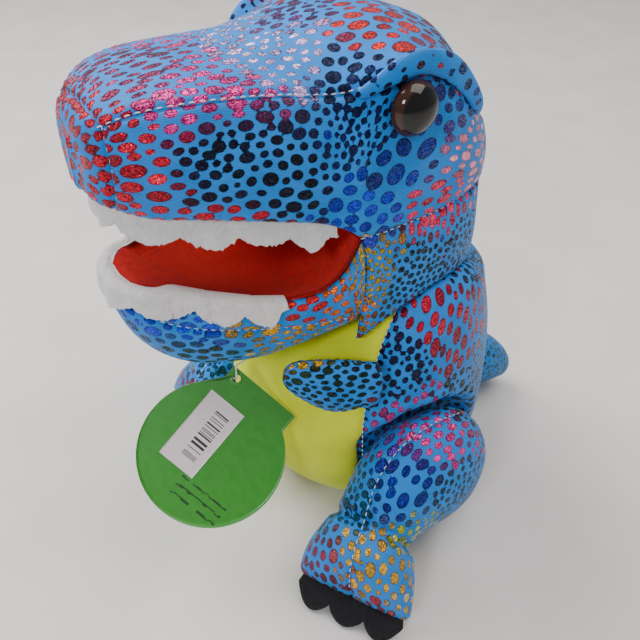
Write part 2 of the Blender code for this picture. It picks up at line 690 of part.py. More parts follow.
# Legs ------------------------------------------------------------------------------------------
def leg_ring(section, segments=20):
    """A section of the leg square to its run, flat against the hip and against the floor."""
    centre, run, half_width, half_height = section
    run = Vector(run).normalized()
    wide = run.cross(Vector((0, 0, 1))).normalized() * -1
    tall = wide.cross(run).normalized()
    if tall.z < 0:
        tall = -tall
    made = []
    for k in range(segments):
        turn = 2 * math.pi * k / segments
        c, s = math.cos(turn), math.sin(turn)
        spot = Vector(centre) + tall * half_height * c + wide * half_width * s
        made.append((max(spot.x, HIP_X + SKIN + GAP), spot.y, max(spot.z, SKIN)))
    return made


def turned_in(section, angle):
    """A section of the leg turned about the upright line through the thigh."""
    centre, run, half_width, half_height = section
    turn = Matrix.Rotation(math.radians(-angle), 3, "Z")
    thigh = Vector(LEG_SECTIONS[FIRST_TURNED][0])
    return (thigh + turn @ (Vector(centre) - thigh), turn @ Vector(run), half_width, half_height)


def leg_sections(side):
    """The leg's sections as for the left side, with the right foot turned in."""
    if side > 0:
        return LEG_SECTIONS
    made = []
    for place, section in enumerate(LEG_SECTIONS):
        share = (place - FIRST_TURNED) / (LAST_TURNED - FIRST_TURNED)
        made.append(turned_in(section, RIGHT_TURN_IN * min(max(share, 0.0), 1.0)))
    return made


def toe_seam(side, reach, across):
    """A point of the toe's plane, forward of the seam by the reach and along it by the share across."""
    centre, run, half_width, _ = leg_sections(side)[-1]
    flat = Vector((run[0], run[1], 0)).normalized()
    wide = Vector((-flat.y, flat.x, 0))
    spot = Vector(centre) + (flat + Vector((0, 0, TOE_SLOPE))).normalized() * reach + wide * across * TOE_WIDTH / 2
    return Vector((side * spot.x, spot.y, spot.z))


def toe_mesh(name, side):
    """Felt toes: a flat double layer of felt with three rounded lobes at its front edge."""
    steps = 12
    front = []
    for k in range(steps + 1):
        across = 1.0 - 2.0 * k / steps
        lobe = abs(math.sin(1.5 * math.pi * (across + 1.0)))
        corner = 1.0 - abs(across) ** 6 * 0.45
        front.append((across, (0.62 + 0.38 * lobe) * TOE_REACH * corner))
    rows = []
    for across, reach in front:
        root, tip = toe_seam(side, 2.4, across), toe_seam(side, reach, across)
        rows.append((root, tip))
    bm = bmesh.new()
    half = TOE_PLY / 2
    layers = []
    for lift in (half, -half):
        up = Vector((0, 0, lift))
        layers.append([[bm.verts.new((max_floor(p + up)) * MM) for p in pair] for pair in rows])
    top, bottom = layers
    for i in range(steps):
        bm.faces.new((top[i][0], top[i][1], top[i + 1][1], top[i + 1][0]))
        bm.faces.new((bottom[i][0], bottom[i][1], bottom[i + 1][1], bottom[i + 1][0]))
        for end in (0, 1):
            bm.faces.new((top[i][end], top[i + 1][end], bottom[i + 1][end], bottom[i][end]))
    for i in (0, steps):
        bm.faces.new((top[i][0], top[i][1], bottom[i][1], bottom[i][0]))
    bmesh.ops.recalc_face_normals(bm, faces=bm.faces)
    bmesh.ops.triangulate(bm, faces=bm.faces)
    mesh = bpy.data.meshes.new(name)
    bm.to_mesh(mesh)
    bm.free()
    return mesh


def max_floor(point):
    """The point, kept above the floor."""
    return Vector((point.x, point.y, max(point.z, 0.0)))


for side, name in ((1, "left"), (-1, "right")):
    rows = [leg_ring(section) for section in leg_sections(side)]
    rows = rows if side > 0 else mirror_rows(rows)
    filling("leg_%s_stuffing" % name, rows)
    half = len(rows[0]) // 2
    outer = [pull_in(row[: half + 1], SEAM_GAP / 2) for row in rows]
    inner = [pull_in(row[half:] + row[:1], SEAM_GAP / 2) for row in rows]
    panel("leg_%s_outer_panel" % name, outer, (side, 0, 0), BLUE)
    panel("leg_%s_inner_panel" % name, inner, (-side, 0, 0), BLUE)
    add("toe_felt_" + name, toe_mesh("toe_felt_" + name, side), (0.011, 0.011, 0.012), 0.95)


# Arms ------------------------------------------------------------------------------------------
def arm_rings():
    """Sections of the arm from its sewn edge to its tip, each a flat oval round the arm's plane."""
    pointing = Vector(ARM_POINTING).normalized()
    face = pointing.cross(Vector((0, 0, 1))).normalized() * -1
    up = face.cross(pointing).normalized()
    if up.z < 0:
        up = -up
    root = Vector(ARM_ROOT)
    made = []
    for reach, low, high, puff in ARM_SECTIONS:
        middle, half = (low + high) / 2, (high - low) / 2
        row = []
        for k in range(16):
            turn = 2 * math.pi * k / 16
            tall = math.copysign(abs(math.cos(turn)) ** 0.8, math.cos(turn))
            thick = math.sin(turn)
            spot = root + pointing * reach + up * (middle + half * tall)
            spot = spot + face * (ARM_HALF_THICKNESS - SKIN) * puff * thick
            row.append(tuple(spot))
        made.append(row)
    return made


arm_rows = arm_rings()
for side, name in ((1, "left"), (-1, "right")):
    rows = arm_rows if side > 0 else mirror_rows(arm_rows)
    filling("arm_%s_stuffing" % name, rows)
    half = len(rows[0]) // 2
    panel("arm_%s_front_panel" % name, [pull_in(r[: half + 1], SEAM_GAP / 2) for r in rows], (side, 0, 0), BLUE)
    panel("arm_%s_back_panel" % name, [pull_in(r[half:] + r[:1], SEAM_GAP / 2) for r in rows], (-side, 0, 0), BLUE)


# Tail ------------------------------------------------------------------------------------------
def tail_ring(section, segments=16):
    y, x, z, half_width, half_height = section
    if y < TAIL_PIVOT_Y:
        half_width = math.sqrt((TAIL_ROOT_RADIUS - GAP) ** 2 - (TAIL_PIVOT_Y - y) ** 2)
    made = []
    for k in range(segments):
        turn = 2 * math.pi * k / segments
        made.append((x + half_width * math.sin(turn), y, z + half_height * math.cos(turn)))
    return made


tail_rows = [tail_ring(section) for section in TAIL_SECTIONS]
filling("tail_stuffing", tail_rows)
sewn = [row for row, section in zip(tail_rows, TAIL_SECTIONS) if section[0] > TAIL_PIVOT_Y + 5]
half = len(tail_rows[0]) // 2
panel("tail_panel_left", [pull_in(r[: half + 1], SEAM_GAP / 2) for r in sewn], (1, 0, 0), BLUE)
panel("tail_panel_right", [pull_in(r[half:] + r[:1], SEAM_GAP / 2) for r in sewn], (-1, 0, 0), BLUE)


# Hang tag --------------------------------------------------------------------------------------
facing = Vector(TAG_FACING).normalized()
level = Vector((0, 0, 1)).cross(facing).normalized()
upright = facing.cross(level).normalized()
tag_across = (level - upright).normalized()
tag_up = (level + upright).normalized()
hole_share = (-0.40, 1.0)


def tag_place(across, up, out):
    """World place of a point of the tag, from its disc's middle, in millimetres."""
    middle = Vector(TAG_HOLE) - tag_across * hole_share[0] * TAG_RADIUS - tag_up * hole_share[1] * TAG_RADIUS
    return middle + tag_across * across + tag_up * up + facing * out


def leaf(name, out, sign, colour, roughness):
    """A disc of card with a neck up to the fold, and the punched hole for the fastener."""
    fold = TAG_FOLD * TAG_RADIUS - 0.3
    neck = TAG_NECK_HALF * TAG_RADIUS
    start = math.degrees(math.asin(TAG_NECK_HALF))
    outline = [(neck, fold), (-neck, fold)]
    for a in angles(90.0 + start, 450.0 - start, 30):
        outline.append((TAG_RADIUS * math.cos(a), TAG_RADIUS * math.sin(a)))
    bm = bmesh.new()
    front = [bm.verts.new(tag_place(u, v, out) * MM) for u, v in outline]
    face = bm.faces.new(front)
    pushed = bmesh.ops.extrude_face_region(bm, geom=[face])
    moved = [g for g in pushed["geom"] if isinstance(g, bmesh.types.BMVert)]
    bmesh.ops.translate(bm, verts=moved, vec=facing * TAG_CARD * sign * MM)
    bmesh.ops.recalc_face_normals(bm, faces=bm.faces)
    mesh = bpy.data.meshes.new(name)
    bm.to_mesh(mesh)
    bm.free()
    thing = add(name, mesh, colour, roughness)
    for polygon in mesh.polygons:
        polygon.use_smooth = False
    cut(thing, tag_hole, "hole")
    return thing


tag_hole = cutting_cylinder("tag_hole", TAG_HOLE, facing, TAG_HOLE_RADIUS, 12.0, 20)
leaf("tag_front_leaf", 0.3, 1, (0.023, 0.19, 0.01), 0.35)
leaf("tag_back_leaf", -0.3, -1, (0.75, 0.75, 0.74), 0.5)
sticker_mesh = bpy.data.meshes.new("barcode_sticker")
bm = bmesh.new()
bmesh.ops.create_cube(bm, size=1.0)
bm.to_mesh(sticker_mesh)
bm.free()
sticker_turn = Matrix((tag_up, -tag_across, facing)).transposed().to_4x4()
sticker_size = Matrix.Diagonal((STICKER[0] * MM, STICKER[1] * MM, STICKER[2] * MM, 1.0))
sticker_at = tag_place(-9.5, 4.5, 0.3 + TAG_CARD + 0.1 + STICKER[2] / 2) * MM
sticker_mesh.transform(Matrix.Translation(sticker_at) @ sticker_turn @ sticker_size)
add("barcode_sticker", sticker_mesh, (0.68, 0.58, 0.58), 0.4)
for polygon in sticker_mesh.polygons:
    polygon.use_smooth = False

fastener = bpy.data.curves.new("nylon_fastener", "CURVE")
fastener.dimensions = "3D"
fastener.bevel_depth = FASTENER_RADIUS * MM
fastener.bevel_resolution = 1
fastener.use_fill_caps = True
hole_at = Vector(TAG_HOLE)
crease_y = -49.0
crease_at = Vector((TAG_HOLE[0], crease_y, dome_height(crease_y, NOD_RADIUS - 1.1)))
strand = fastener.splines.new("POLY")
places = [
    hole_at - level * 3.5 - facing * 2.2,
    hole_at - level * 1.0 - facing * 2.2,
    hole_at - facing * 1.2,
    hole_at + facing * 1.6,
    hole_at + facing * 2.6 + upright * 2.0,
    hole_at + facing * 2.4 + upright * 6.0,
    crease_at + Vector((0, -12.0, -9.0)),
    crease_at + Vector((0, -5.0, -3.4)),
    crease_at,
    Vector((TAG_HOLE[0], crease_y + 6.0, dome_height(crease_y + 6.0, NOD_RADIUS - 1.1))),
]
strand.points.add(len(places) - 1)
for point, place in zip(strand.points, places):
    point.co = (*(place * MM), 1.0)
fastener_object = bpy.data.objects.new("nylon_fastener", fastener)
fastener.materials.append(material("nylon_fastener_material", (0.8, 0.82, 0.8), 0.25))
dinosaur.objects.link(fastener_object)
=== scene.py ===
"""A stuffed dinosaur of foil-printed velour, sitting on a plain floor: its skins, felt, eyes and hang tag,
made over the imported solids. Sizes in the making are in millimetres and become metres in the mesh."""

import math

import bpy
import numpy as np
from mathutils import Matrix, Vector


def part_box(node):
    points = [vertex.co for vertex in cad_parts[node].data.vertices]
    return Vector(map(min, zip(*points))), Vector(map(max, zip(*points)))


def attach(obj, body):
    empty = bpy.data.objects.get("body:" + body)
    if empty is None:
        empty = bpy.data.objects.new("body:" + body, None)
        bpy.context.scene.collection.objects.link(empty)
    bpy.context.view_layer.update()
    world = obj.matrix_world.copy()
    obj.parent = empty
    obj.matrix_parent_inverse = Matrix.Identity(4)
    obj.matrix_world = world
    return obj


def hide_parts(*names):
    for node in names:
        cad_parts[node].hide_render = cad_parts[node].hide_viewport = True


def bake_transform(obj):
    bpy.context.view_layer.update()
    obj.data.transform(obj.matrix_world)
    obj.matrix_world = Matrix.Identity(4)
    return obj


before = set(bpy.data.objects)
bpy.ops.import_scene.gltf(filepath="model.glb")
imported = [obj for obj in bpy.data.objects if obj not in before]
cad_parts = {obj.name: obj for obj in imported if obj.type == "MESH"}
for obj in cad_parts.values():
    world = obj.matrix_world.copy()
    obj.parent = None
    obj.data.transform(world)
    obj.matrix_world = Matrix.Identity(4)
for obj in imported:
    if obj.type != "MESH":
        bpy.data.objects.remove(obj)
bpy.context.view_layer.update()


# Floor, light and camera ------------------------------------------------------------------------
# The toy sits on a plain pale floor under three soft boxes. The camera looks down on its left front
# from about a third of a metre.
def linear(code):
    """The linear colour of an sRGB hex code: below 0.04045 a twelfth-and-a-bit of it, above a power of
    2.4."""
    parts = [int(code[k : k + 2], 16) / 255 for k in (1, 3, 5)]
    return tuple(c / 12.92 if c <= 0.04045 else ((c + 0.055) / 1.055) ** 2.4 for c in parts) + (1.0,)


def node(tree, kind, *feeds, **settings):
    """Adds a node. Settings go to its properties or, spelled with _ for a space, to its sockets; feeds go
    to its sockets in order. A socket, or a node for its first output, is linked, and anything else is
    set."""
    made = tree.nodes.new("ShaderNode" + kind)
    named = {}
    for key, value in settings.items():
        if hasattr(made, key):
            setattr(made, key, value)
        else:
            named[key.replace("_", " ")] = value
    for place, feed in list(enumerate(feeds)) + list(named.items()):
        if isinstance(feed, bpy.types.Node):
            feed = feed.outputs[0]
        if isinstance(feed, bpy.types.NodeSocket):
            tree.links.new(feed, made.inputs[place])
        elif feed is not None:
            made.inputs[place].default_value = feed
    return made


def finish_of(name, colour, roughness, **sockets):
    """A new material with one Principled shader. Returns it with its tree and shader."""
    made = bpy.data.materials.new(name)
    made.use_nodes = True
    tree = made.node_tree
    shader = tree.nodes["Principled BSDF"]
    shader.inputs["Base Color"].default_value = linear(colour)
    shader.inputs["Roughness"].default_value = roughness
    for key, value in sockets.items():
        shader.inputs[key.replace("_", " ")].default_value = value
    return made, tree, shader


def wire(shader, **feeds):
    """Links each node's first output to the shader's socket of that name, spelled with _ for a space."""
    for key, feed in feeds.items():
        shader.id_data.links.new(feed.outputs[0], shader.inputs[key.replace("_", " ")])


def toned(tree, colour, pattern, dark, light, low=0.3, high=0.7):
    """The colour times a tone that goes from dark to light while the pattern goes from low to high."""
    tone = node(tree, "MapRange", pattern, low, high, dark, light)
    return node(tree, "MixRGB", 1.0, linear(colour), tone, blend_type="MULTIPLY")


def placed(name, data):
    """A new object in the scene that holds a mesh, a lamp or a camera."""
    made = bpy.data.objects.new(name, data)
    bpy.context.scene.collection.objects.link(made)
    return made


# Painted plaster: matt, with a faint mottle about 60 mm wide.
floor_paint, tree, shader = finish_of("painted_floor_plaster", "#DAD6D2", 0.6)
mottle = node(tree, "TexNoise", node(tree, "TexCoord").outputs["Object"], Scale=16.0, Detail=5.0)
wire(shader, Base_Color=toned(tree, "#DAD6D2", mottle, 0.94, 1.04))
floor_mesh = bpy.data.meshes.new("floor")
corners = [(x, y, -0.0006) for x, y in ((-3, -3), (3, -3), (3, 3), (-3, 3))]
floor_mesh.from_pydata(corners, [], [(0, 1, 2, 3)])
floor_mesh.materials.append(floor_paint)
floor = placed("floor", floor_mesh)

world = bpy.data.worlds.new("pale_room")
world.use_nodes = True
backdrop = world.node_tree.nodes["Background"].inputs
backdrop["Color"].default_value = linear("#E6E9EE")
backdrop["Strength"].default_value = 0.45
bpy.context.scene.world = world

# (name, place, aimed at, size, watts, colour)
SOFT_BOXES = (
    ("window_box", (-0.75, -0.35, 1.15), (0.0, -0.03, 0.12), 0.9, 21.0, "#FFFFFF"),
    ("ceiling_box", (0.35, 0.45, 1.5), (0.0, 0.0, 0.1), 1.2, 16.0, "#FFF8F0"),
    ("camera_side_box", (0.55, -1.05, 0.95), (0.0, -0.03, 0.12), 0.3, 7.5, "#F4F7FF"),
)
for name, place, aim, size, watts, colour in SOFT_BOXES:
    lamp = bpy.data.lights.new(name, "AREA")
    lamp.size = size
    lamp.energy = watts
    lamp.color = linear(colour)[:3]
    holder = placed(name, lamp)
    holder.location = place
    holder.rotation_mode = "QUATERNION"
    holder.rotation_quaternion = (Vector(aim) - Vector(place)).to_track_quat("-Z", "Y")

lens = bpy.data.cameras.new("camera")
lens.lens = 40.5
lens.sensor_width = 36.0
lens.clip_start = 0.01
camera = placed("camera", lens)
yaw, pitch = math.radians(54.0), math.radians(38.5)
camera.location = (0.2268, -0.1982, 0.323)
ahead = Vector((-math.sin(yaw) * math.cos(pitch), math.cos(yaw) * math.cos(pitch), -math.sin(pitch)))
camera.rotation_mode = "QUATERNION"
camera.rotation_quaternion = ahead.to_track_quat("-Z", "Y")
bpy.context.scene.camera = camera


# Torso ------------------------------------------------------------------------------------------
# A pear-shaped body of three stuffed panels: plain yellow velour in front and foil-printed blue velour round
# both sides, machine sewn inside out, so that each seam lies in a groove between two swollen edges.
SKIN, GAP = 1.4, 0.35
TORSO_WIDTH = 62.0
TORSO_RINGS = (
    (SKIN, 0.01, 14.0, 15.0),
    (SKIN, 0.20, 8.0, 22.0),
    (SKIN, 0.60, -34.0, 30.0),
    (5.0, 0.76, -47.0, 43.0),
    (18.0, 0.89, -60.0, 53.0),
    (38.0, 0.97, -69.5, 59.0),
    (60.0, 1.00, -74.0, 61.0),
    (82.0, 0.99, -73.0, 59.5),
    (102.0, 0.96, -66.0, 56.0),
    (118.0, 0.92, -56.0, 51.0),
    (129.0, 0.88, -45.0, 46.0),
    (136.5, 0.80, -36.0, 40.0),
    (200.0, 0.62, -27.6, 31.6),
    (200.0, 0.36, -15.1, 19.1),
)
NOD_Y, NOD_Z, NOD_RADIUS, SHOULDER_CLEARANCE = 5.0, 57.0, 83.0, 3.4
BELLY_ANGLE = 55.0
HIP_X, HIP_Y, HIP_Z, HIP_POCKET = 49.0, -17.0, 41.0, 38.0


def through(points, step, axis):
    """Points about a step apart along an axis, on cubic Hermite curves through the given ones. The slope at
    a point is the mean of the slopes beside it, each weighted by the other's length."""
    a = np.moveaxis(np.asarray(points, float), axis, 0)
    rise = np.diff(a, axis=0)
    h = np.linalg.norm(rise, axis=-1).reshape(len(rise), -1).mean(1) + 1e-6
    wide = (-1,) + (1,) * (a.ndim - 1)
    slope = rise / h.reshape(wide)
    h0, h1 = h[:-1].reshape(wide), h[1:].reshape(wide)
    inner = (slope[:-1] * h1 + slope[1:] * h0) / (h0 + h1)
    tangent = np.concatenate([slope[:1], inner, slope[-1:]])
    knot = np.concatenate([[0.0], np.cumsum(h)])
    place = np.linspace(0.0, knot[-1], max(int(round(knot[-1] / step)), 2) + 1)
    k = np.clip(np.searchsorted(knot, place, side="right") - 1, 0, len(h) - 1)
    t = ((place - knot[k]) / h[k]).reshape(wide)
    reach = h[k].reshape(wide)
    made = (2 * t**3 - 3 * t**2 + 1) * a[k] + (t**3 - 2 * t**2 + t) * reach * tangent[k]
    made += (3 * t**2 - 2 * t**3) * a[k + 1] + (t**3 - t**2) * reach * tangent[k + 1]
    return np.moveaxis(made, 0, axis)


def unit(vectors, least=1e-9):
    """The vectors at length 1. One shorter than the least is divided by that."""
    return vectors / np.maximum(np.linalg.norm(vectors, axis=-1, keepdims=True), least)


def facing(points, outward):
    """Unit normals of a grid: the cross product of its two tangents, turned to the outward side. Where the
    grid closes to a pole the nearest row's normals serve, and a row in the toy's middle plane faces within
    that plane."""
    n = np.cross(np.gradient(points, axis=0), np.gradient(points, axis=1))
    size = np.linalg.norm(n, axis=-1)
    n = unit(n)
    for end, inner in ((0, 1), (-1, -2)):
        if size[end].max() < 1e-6:
            n[end] = n[inner]
    for end in (0, -1):
        if np.abs(points[end, :, 0]).max() < 1e-3 and size[end].max() > 1e-6:
            n[end, :, 0] = 0
            n[end] = unit(n[end])
    if np.allclose(points[:, 0], points[:, -1], atol=1e-3):
        n[:, 0] = n[:, -1] = unit(n[:, 0] + n[:, -1])
    middle = n[n.shape[0] // 2, n.shape[1] // 2]
    return n if middle @ np.asarray(outward, float) > 0 else -n


def wound(index, points, normals):
    """The grid's quads as vertex numbers, turned round if they face against the normals at its middle, and
    whether they were left as they are."""
    quads = np.stack([index[:-1, :-1], index[1:, :-1], index[1:, 1:], index[:-1, 1:]], -1).reshape(-1, 4)
    i, j = index.shape[0] // 2, index.shape[1] // 2
    cross = np.cross(points[i + 1, j] - points[i, j], points[i, j + 1] - points[i, j])
    kept = cross @ normals[i, j] > 0
    return (quads if kept else quads[:, ::-1]), kept


def lumps(points):
    """The unevenness of loose filling: a sum of sines over waves 17 to 46 mm long, from -1 to 1."""
    rng = np.random.default_rng(5)
    total = 0.0
    for wave in (46.0, 33.0, 25.0, 17.0):
        way = rng.normal(size=3)
        way *= 2 * np.pi / wave / np.linalg.norm(way)
        total = total + np.sin(points @ way + rng.uniform(0, 6.28)) / 4
    return total


def stuffed(points, outward, pressure=2.0, most=3.0, frames=14):
    """Fills a panel: its grid, taken every 5 mm, becomes a Cloth mesh held along its seams and blown out from
    inside without gravity for some frames. No point moves further than the most allowed."""
    points = through(through(points, 5.0, 0), 5.0, 1)
    normals = facing(points, outward)
    _, first, index = np.unique(
        np.round(points.reshape(-1, 3), 2), axis=0, return_index=True, return_inverse=True
    )
    index = index.reshape(points.shape[:2])
    spots = points.reshape(-1, 3)[first]
    quads, _ = wound(index, points, normals)
    faces = [tuple(dict.fromkeys(f)) for f in quads.tolist()]
    held = np.zeros(len(spots), bool)
    held[np.concatenate([index[0], index[-1], index[:, 0], index[:, -1]])] = True
    mesh = bpy.data.meshes.new("cover")
    mesh.from_pydata((spots / 1000).tolist(), [], [f for f in faces if len(f) > 2])
    cover = placed("cover", mesh)
    cover.vertex_groups.new(name="sewn").add(np.flatnonzero(held).tolist(), 1.0, "REPLACE")
    cloth = cover.modifiers.new("cover", "CLOTH")
    cloth.settings.vertex_group_mass = "sewn"
    cloth.settings.use_pressure = True
    cloth.settings.uniform_pressure_force = pressure
    cloth.settings.tension_stiffness = cloth.settings.compression_stiffness = 12.0
    cloth.settings.bending_stiffness = 0.3
    cloth.settings.effector_weights.gravity = 0.0
    cloth.collision_settings.use_collision = False
    cloth.point_cache.frame_start, cloth.point_cache.frame_end = 1, frames
    for count in range(1, frames + 1):
        bpy.context.scene.frame_set(count)
    baked = cover.evaluated_get(bpy.context.evaluated_depsgraph_get()).to_mesh()
    blown = np.empty(len(spots) * 3)
    baked.vertices.foreach_get("co", blown)
    bpy.context.scene.frame_set(1)
    bpy.data.objects.remove(cover)
    bpy.data.meshes.remove(mesh)
    move = blown.reshape(-1, 3) * 1000 - spots
    far = np.linalg.norm(move, axis=1, keepdims=True)
    move = move * np.minimum(1.0, most / np.maximum(far, 1e-6))
    return points + move[index]


# The foil print changes from place to place over the toy. Each piece has its patches of colour: (share of the
# piece's box across, along and up, colour, spacing of the spots, how many times longer than wide they are).
PRINT = {
    "nose_panel": (
        ((0.8, 0.0, 0.8), "#B23048", 6.0, 1.6), ((0.8, 0.0, 0.2), "#C0304C", 6.0, 1.4),
    ),
    "head_top_panel": (
        ((0.5, 0.1, 0.8), "#8C2E62", 6.5, 1.9), ((0.8, 0.2, 0.8), "#D0509C", 6.0, 1.5),
        # The pale #C8B4DC patch on the top of the head is a painted highlight: white glints of the foil, set
        # as its colour.
        ((0.7, 0.4, 0.8), "#C8B4DC", 5.0, 1.4), ((0.5, 0.5, 0.9), "#6A3470", 5.0, 1.6),
        ((0.9, 0.5, 0.8), "#2A3460", 6.0, 1.2), ((0.8, 0.6, 0.9), "#D23C32", 8.0, 1.5),
        ((0.6, 0.8, 1.0), "#92323E", 7.0, 1.6), ((0.5, 1.0, 0.3), "#2A4870", 4.5, 1.1),
    ),
    "face_side_left": (
        ((0.5, 0.0, 0.6), "#C83450", 7.0, 1.5), ((0.7, 0.2, 0.2), "#CC2E4A", 8.0, 1.5),
        ((0.7, 0.2, 0.7), "#1E2648", 4.8, 1.2), ((0.8, 0.3, 0.5), "#161E3C", 5.5, 1.2),
        ((0.9, 0.5, 0.7), "#1B2C68", 3.5, 1.0), ((1.0, 0.5, 0.2), "#2050C8", 8.0, 1.1),
        ((1.0, 0.6, 0.5), "#2044A2", 11.0, 1.0), ((1.0, 0.7, 0.1), "#DA4A74", 6.5, 1.8),
        ((1.0, 0.8, 0.4), "#ECA0B4", 6.0, 1.6), ((1.0, 0.8, 0.8), "#2A468A", 6.5, 1.1),
        ((0.8, 1.0, 0.3), "#205460", 4.5, 1.1),
    ),
    "throat_panel_left": (
        ((0.9, 0.0, 0.6), "#B8A43C", 3.2, 1.0), ((1.0, 0.3, 0.5), "#1A4048", 3.6, 1.0),
        ((0.9, 0.7, 0.5), "#1C3E54", 3.7, 1.0),
    ),
    "jaw_side_left": (
        ((0.9, 0.9, 0.5), "#DC7E34", 4.5, 1.2), ((0.9, 0.7, 0.4), "#D23A44", 7.5, 1.5),
        ((0.8, 0.5, 0.5), "#D6B436", 7.5, 1.2), ((0.5, 0.2, 0.4), "#2654C8", 6.5, 1.2),
    ),
    "chin_panel": (
        ((0.9, 0.7, 0.4), "#C8A83C", 5.5, 1.5), ((0.7, 0.3, 0.3), "#1C5250", 6.5, 1.3),
    ),
    "torso_side_left": (
        ((1.0, 0.3, 0.9), "#BE2C50", 8.5, 1.6), ((1.0, 0.5, 0.8), "#A82C4C", 8.5, 1.6),
        ((0.9, 0.2, 0.8), "#2A2A56", 4.6, 1.2), ((1.0, 0.5, 0.6), "#163038", 5.5, 1.2),
        ((0.8, 0.8, 0.6), "#1C4450", 4.8, 1.2), ((0.3, 1.0, 0.5), "#20506C", 5.0, 1.2),
    ),
    "leg_left_outer_panel": (
        ((0.2, 0.6, 1.0), "#E45CA6", 6.3, 1.3), ((0.4, 0.4, 0.8), "#2444A2", 7.5, 1.2),
        ((0.5, 0.6, 0.6), "#1E5262", 4.2, 1.0), ((0.5, 0.4, 0.4), "#BCC43E", 5.0, 1.1),
        ((0.6, 0.1, 0.4), "#D8B458", 6.5, 1.3), ((0.7, 0.1, 0.1), "#BE3C60", 7.0, 1.4),
        ((1.0, 0.1, 0.2), "#CCB884", 5.6, 1.2),
    ),
    "leg_left_inner_panel": (
        ((0.4, 0.3, 0.5), "#2C6478", 4.6, 1.1), ((0.6, 0.1, 0.2), "#96405C", 6.5, 1.4),
    ),
    "arm_left_front_panel": (((0.5, 0.5, 0.5), "#1B4438", 4.6, 1.3),),
    "tail_panel_left": (((0.7, 0.6, 0.5), "#2A7484", 4.6, 1.1),),
}


def print_at(points):
    """The print's colour, spacing and stretch at points: the mean over the patches, each weighted by the
    sixth power of its nearness, 3 mm being as near as counts. A second colour comes from one patch near by.
    A patch's middle is its shares of the way from the low to the high corner of its piece."""
    rows = [(np.array(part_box(name)) * 1000, *patch) for name, patches in PRINT.items() for patch in patches]
    middles = np.array([low + (high - low) * np.array(share) for (low, high), share, *_ in rows])
    colours = np.array([linear(row[2])[:3] for row in rows])
    sizes = np.array([row[3:] for row in rows], float)
    at = np.stack([np.abs(points[:, 0]), points[:, 1], points[:, 2]], 1)
    far = ((at[:, None] - middles) ** 2).sum(-1) + 9.0
    weight = far**-3
    weight /= weight.sum(1, keepdims=True)
    picked = (weight.cumsum(1) > np.random.default_rng(3).uniform(size=(len(at), 1))).argmax(1)
    return weight @ colours, colours[picked], *(weight @ sizes).T


def spotted(points, normals, along, seed, fill):
    """Where a panel's foil spots lie. Vertices are tried in a random order and become a spot's middle if
    they are about four fifths of a spacing away from those before; four rounds move each middle to the mean
    of the vertices nearest to it, by distance over spacing, shortened along the panel by the stretch. A
    spot is an ellipse, seven tenths of its spread taken from its vertices and the rest from an even one.
    Returns how far out each vertex is, 1 on the outline, and its spot's colour."""
    rng = np.random.default_rng(seed)
    blend, picked, spacing, stretch = print_at(points)
    spacing, stretch = spacing * 0.92 * np.exp(rng.normal(0.0, 0.05, len(points))), 1 + (stretch - 1) * 1.5
    free, chosen = np.ones(len(points), bool), []
    for k in rng.permutation(len(points)):
        if not free[k]:
            continue
        chosen.append(k)
        away = points - points[k]
        far = (away**2).sum(1) - (1 - stretch[k] ** -2) * (away @ along[k]) ** 2
        free &= far * stretch[k] > (0.80 * spacing[k]) ** 2
    chosen = np.array(chosen)
    scale = spacing[chosen] * np.exp(rng.normal(0.0, 0.16, len(chosen)))
    long, run, up = stretch[chosen], along[chosen], normals[chosen]
    side = np.cross(up, run)
    middle = points[chosen].copy()
    for _ in range(4):
        owner = np.empty(len(points), int)
        for cut in range(0, len(points), 2000):
            x = points[cut : cut + 2000]
            far = (x**2).sum(1)[:, None] + (middle**2).sum(1) - 2 * x @ middle.T
            far -= (1 - long**-2) * (x @ run.T - (middle * run).sum(1)) ** 2
            owner[cut : cut + 2000] = (far * long / scale**2).argmin(1)
        count = np.maximum(np.bincount(owner, minlength=len(chosen)), 1)
        middle = np.stack([np.bincount(owner, points[:, k], len(chosen)) / count for k in range(3)], 1)
    away = points - middle[owner]
    a, b = (away * run[owner]).sum(1), (away * side[owner]).sum(1)
    spread = [np.bincount(owner, v, len(chosen)) / count for v in (a * a, b * b, a * b)]
    plain = scale**2 / 14.0
    aa, bb = spread[0] * 0.7 + 0.3 * plain * long, spread[1] * 0.7 + 0.3 * plain / long
    ab = spread[2] * 0.7
    half, lean = (aa + bb) / 2, np.hypot((aa - bb) / 2, ab)
    turn = 0.5 * np.arctan2(2 * ab, aa - bb)
    full = np.exp(rng.normal(0.0, 0.12, len(chosen))) * fill
    length, width = np.sqrt(half + lean) * full, np.sqrt(np.maximum(half - lean, 0.02)) * full
    c, s = np.cos(turn)[owner], np.sin(turn)[owner]
    out = np.hypot((a * c + b * s) / length[owner], (b * c - a * s) / width[owner])
    colour = 0.45 * blend[chosen] + 0.55 * picked[chosen]
    colour = 0.9 * colour**1.45 * np.exp(rng.normal(0.0, 0.25, (len(chosen), 1)))
    return np.minimum(out, 3.0), colour[owner]


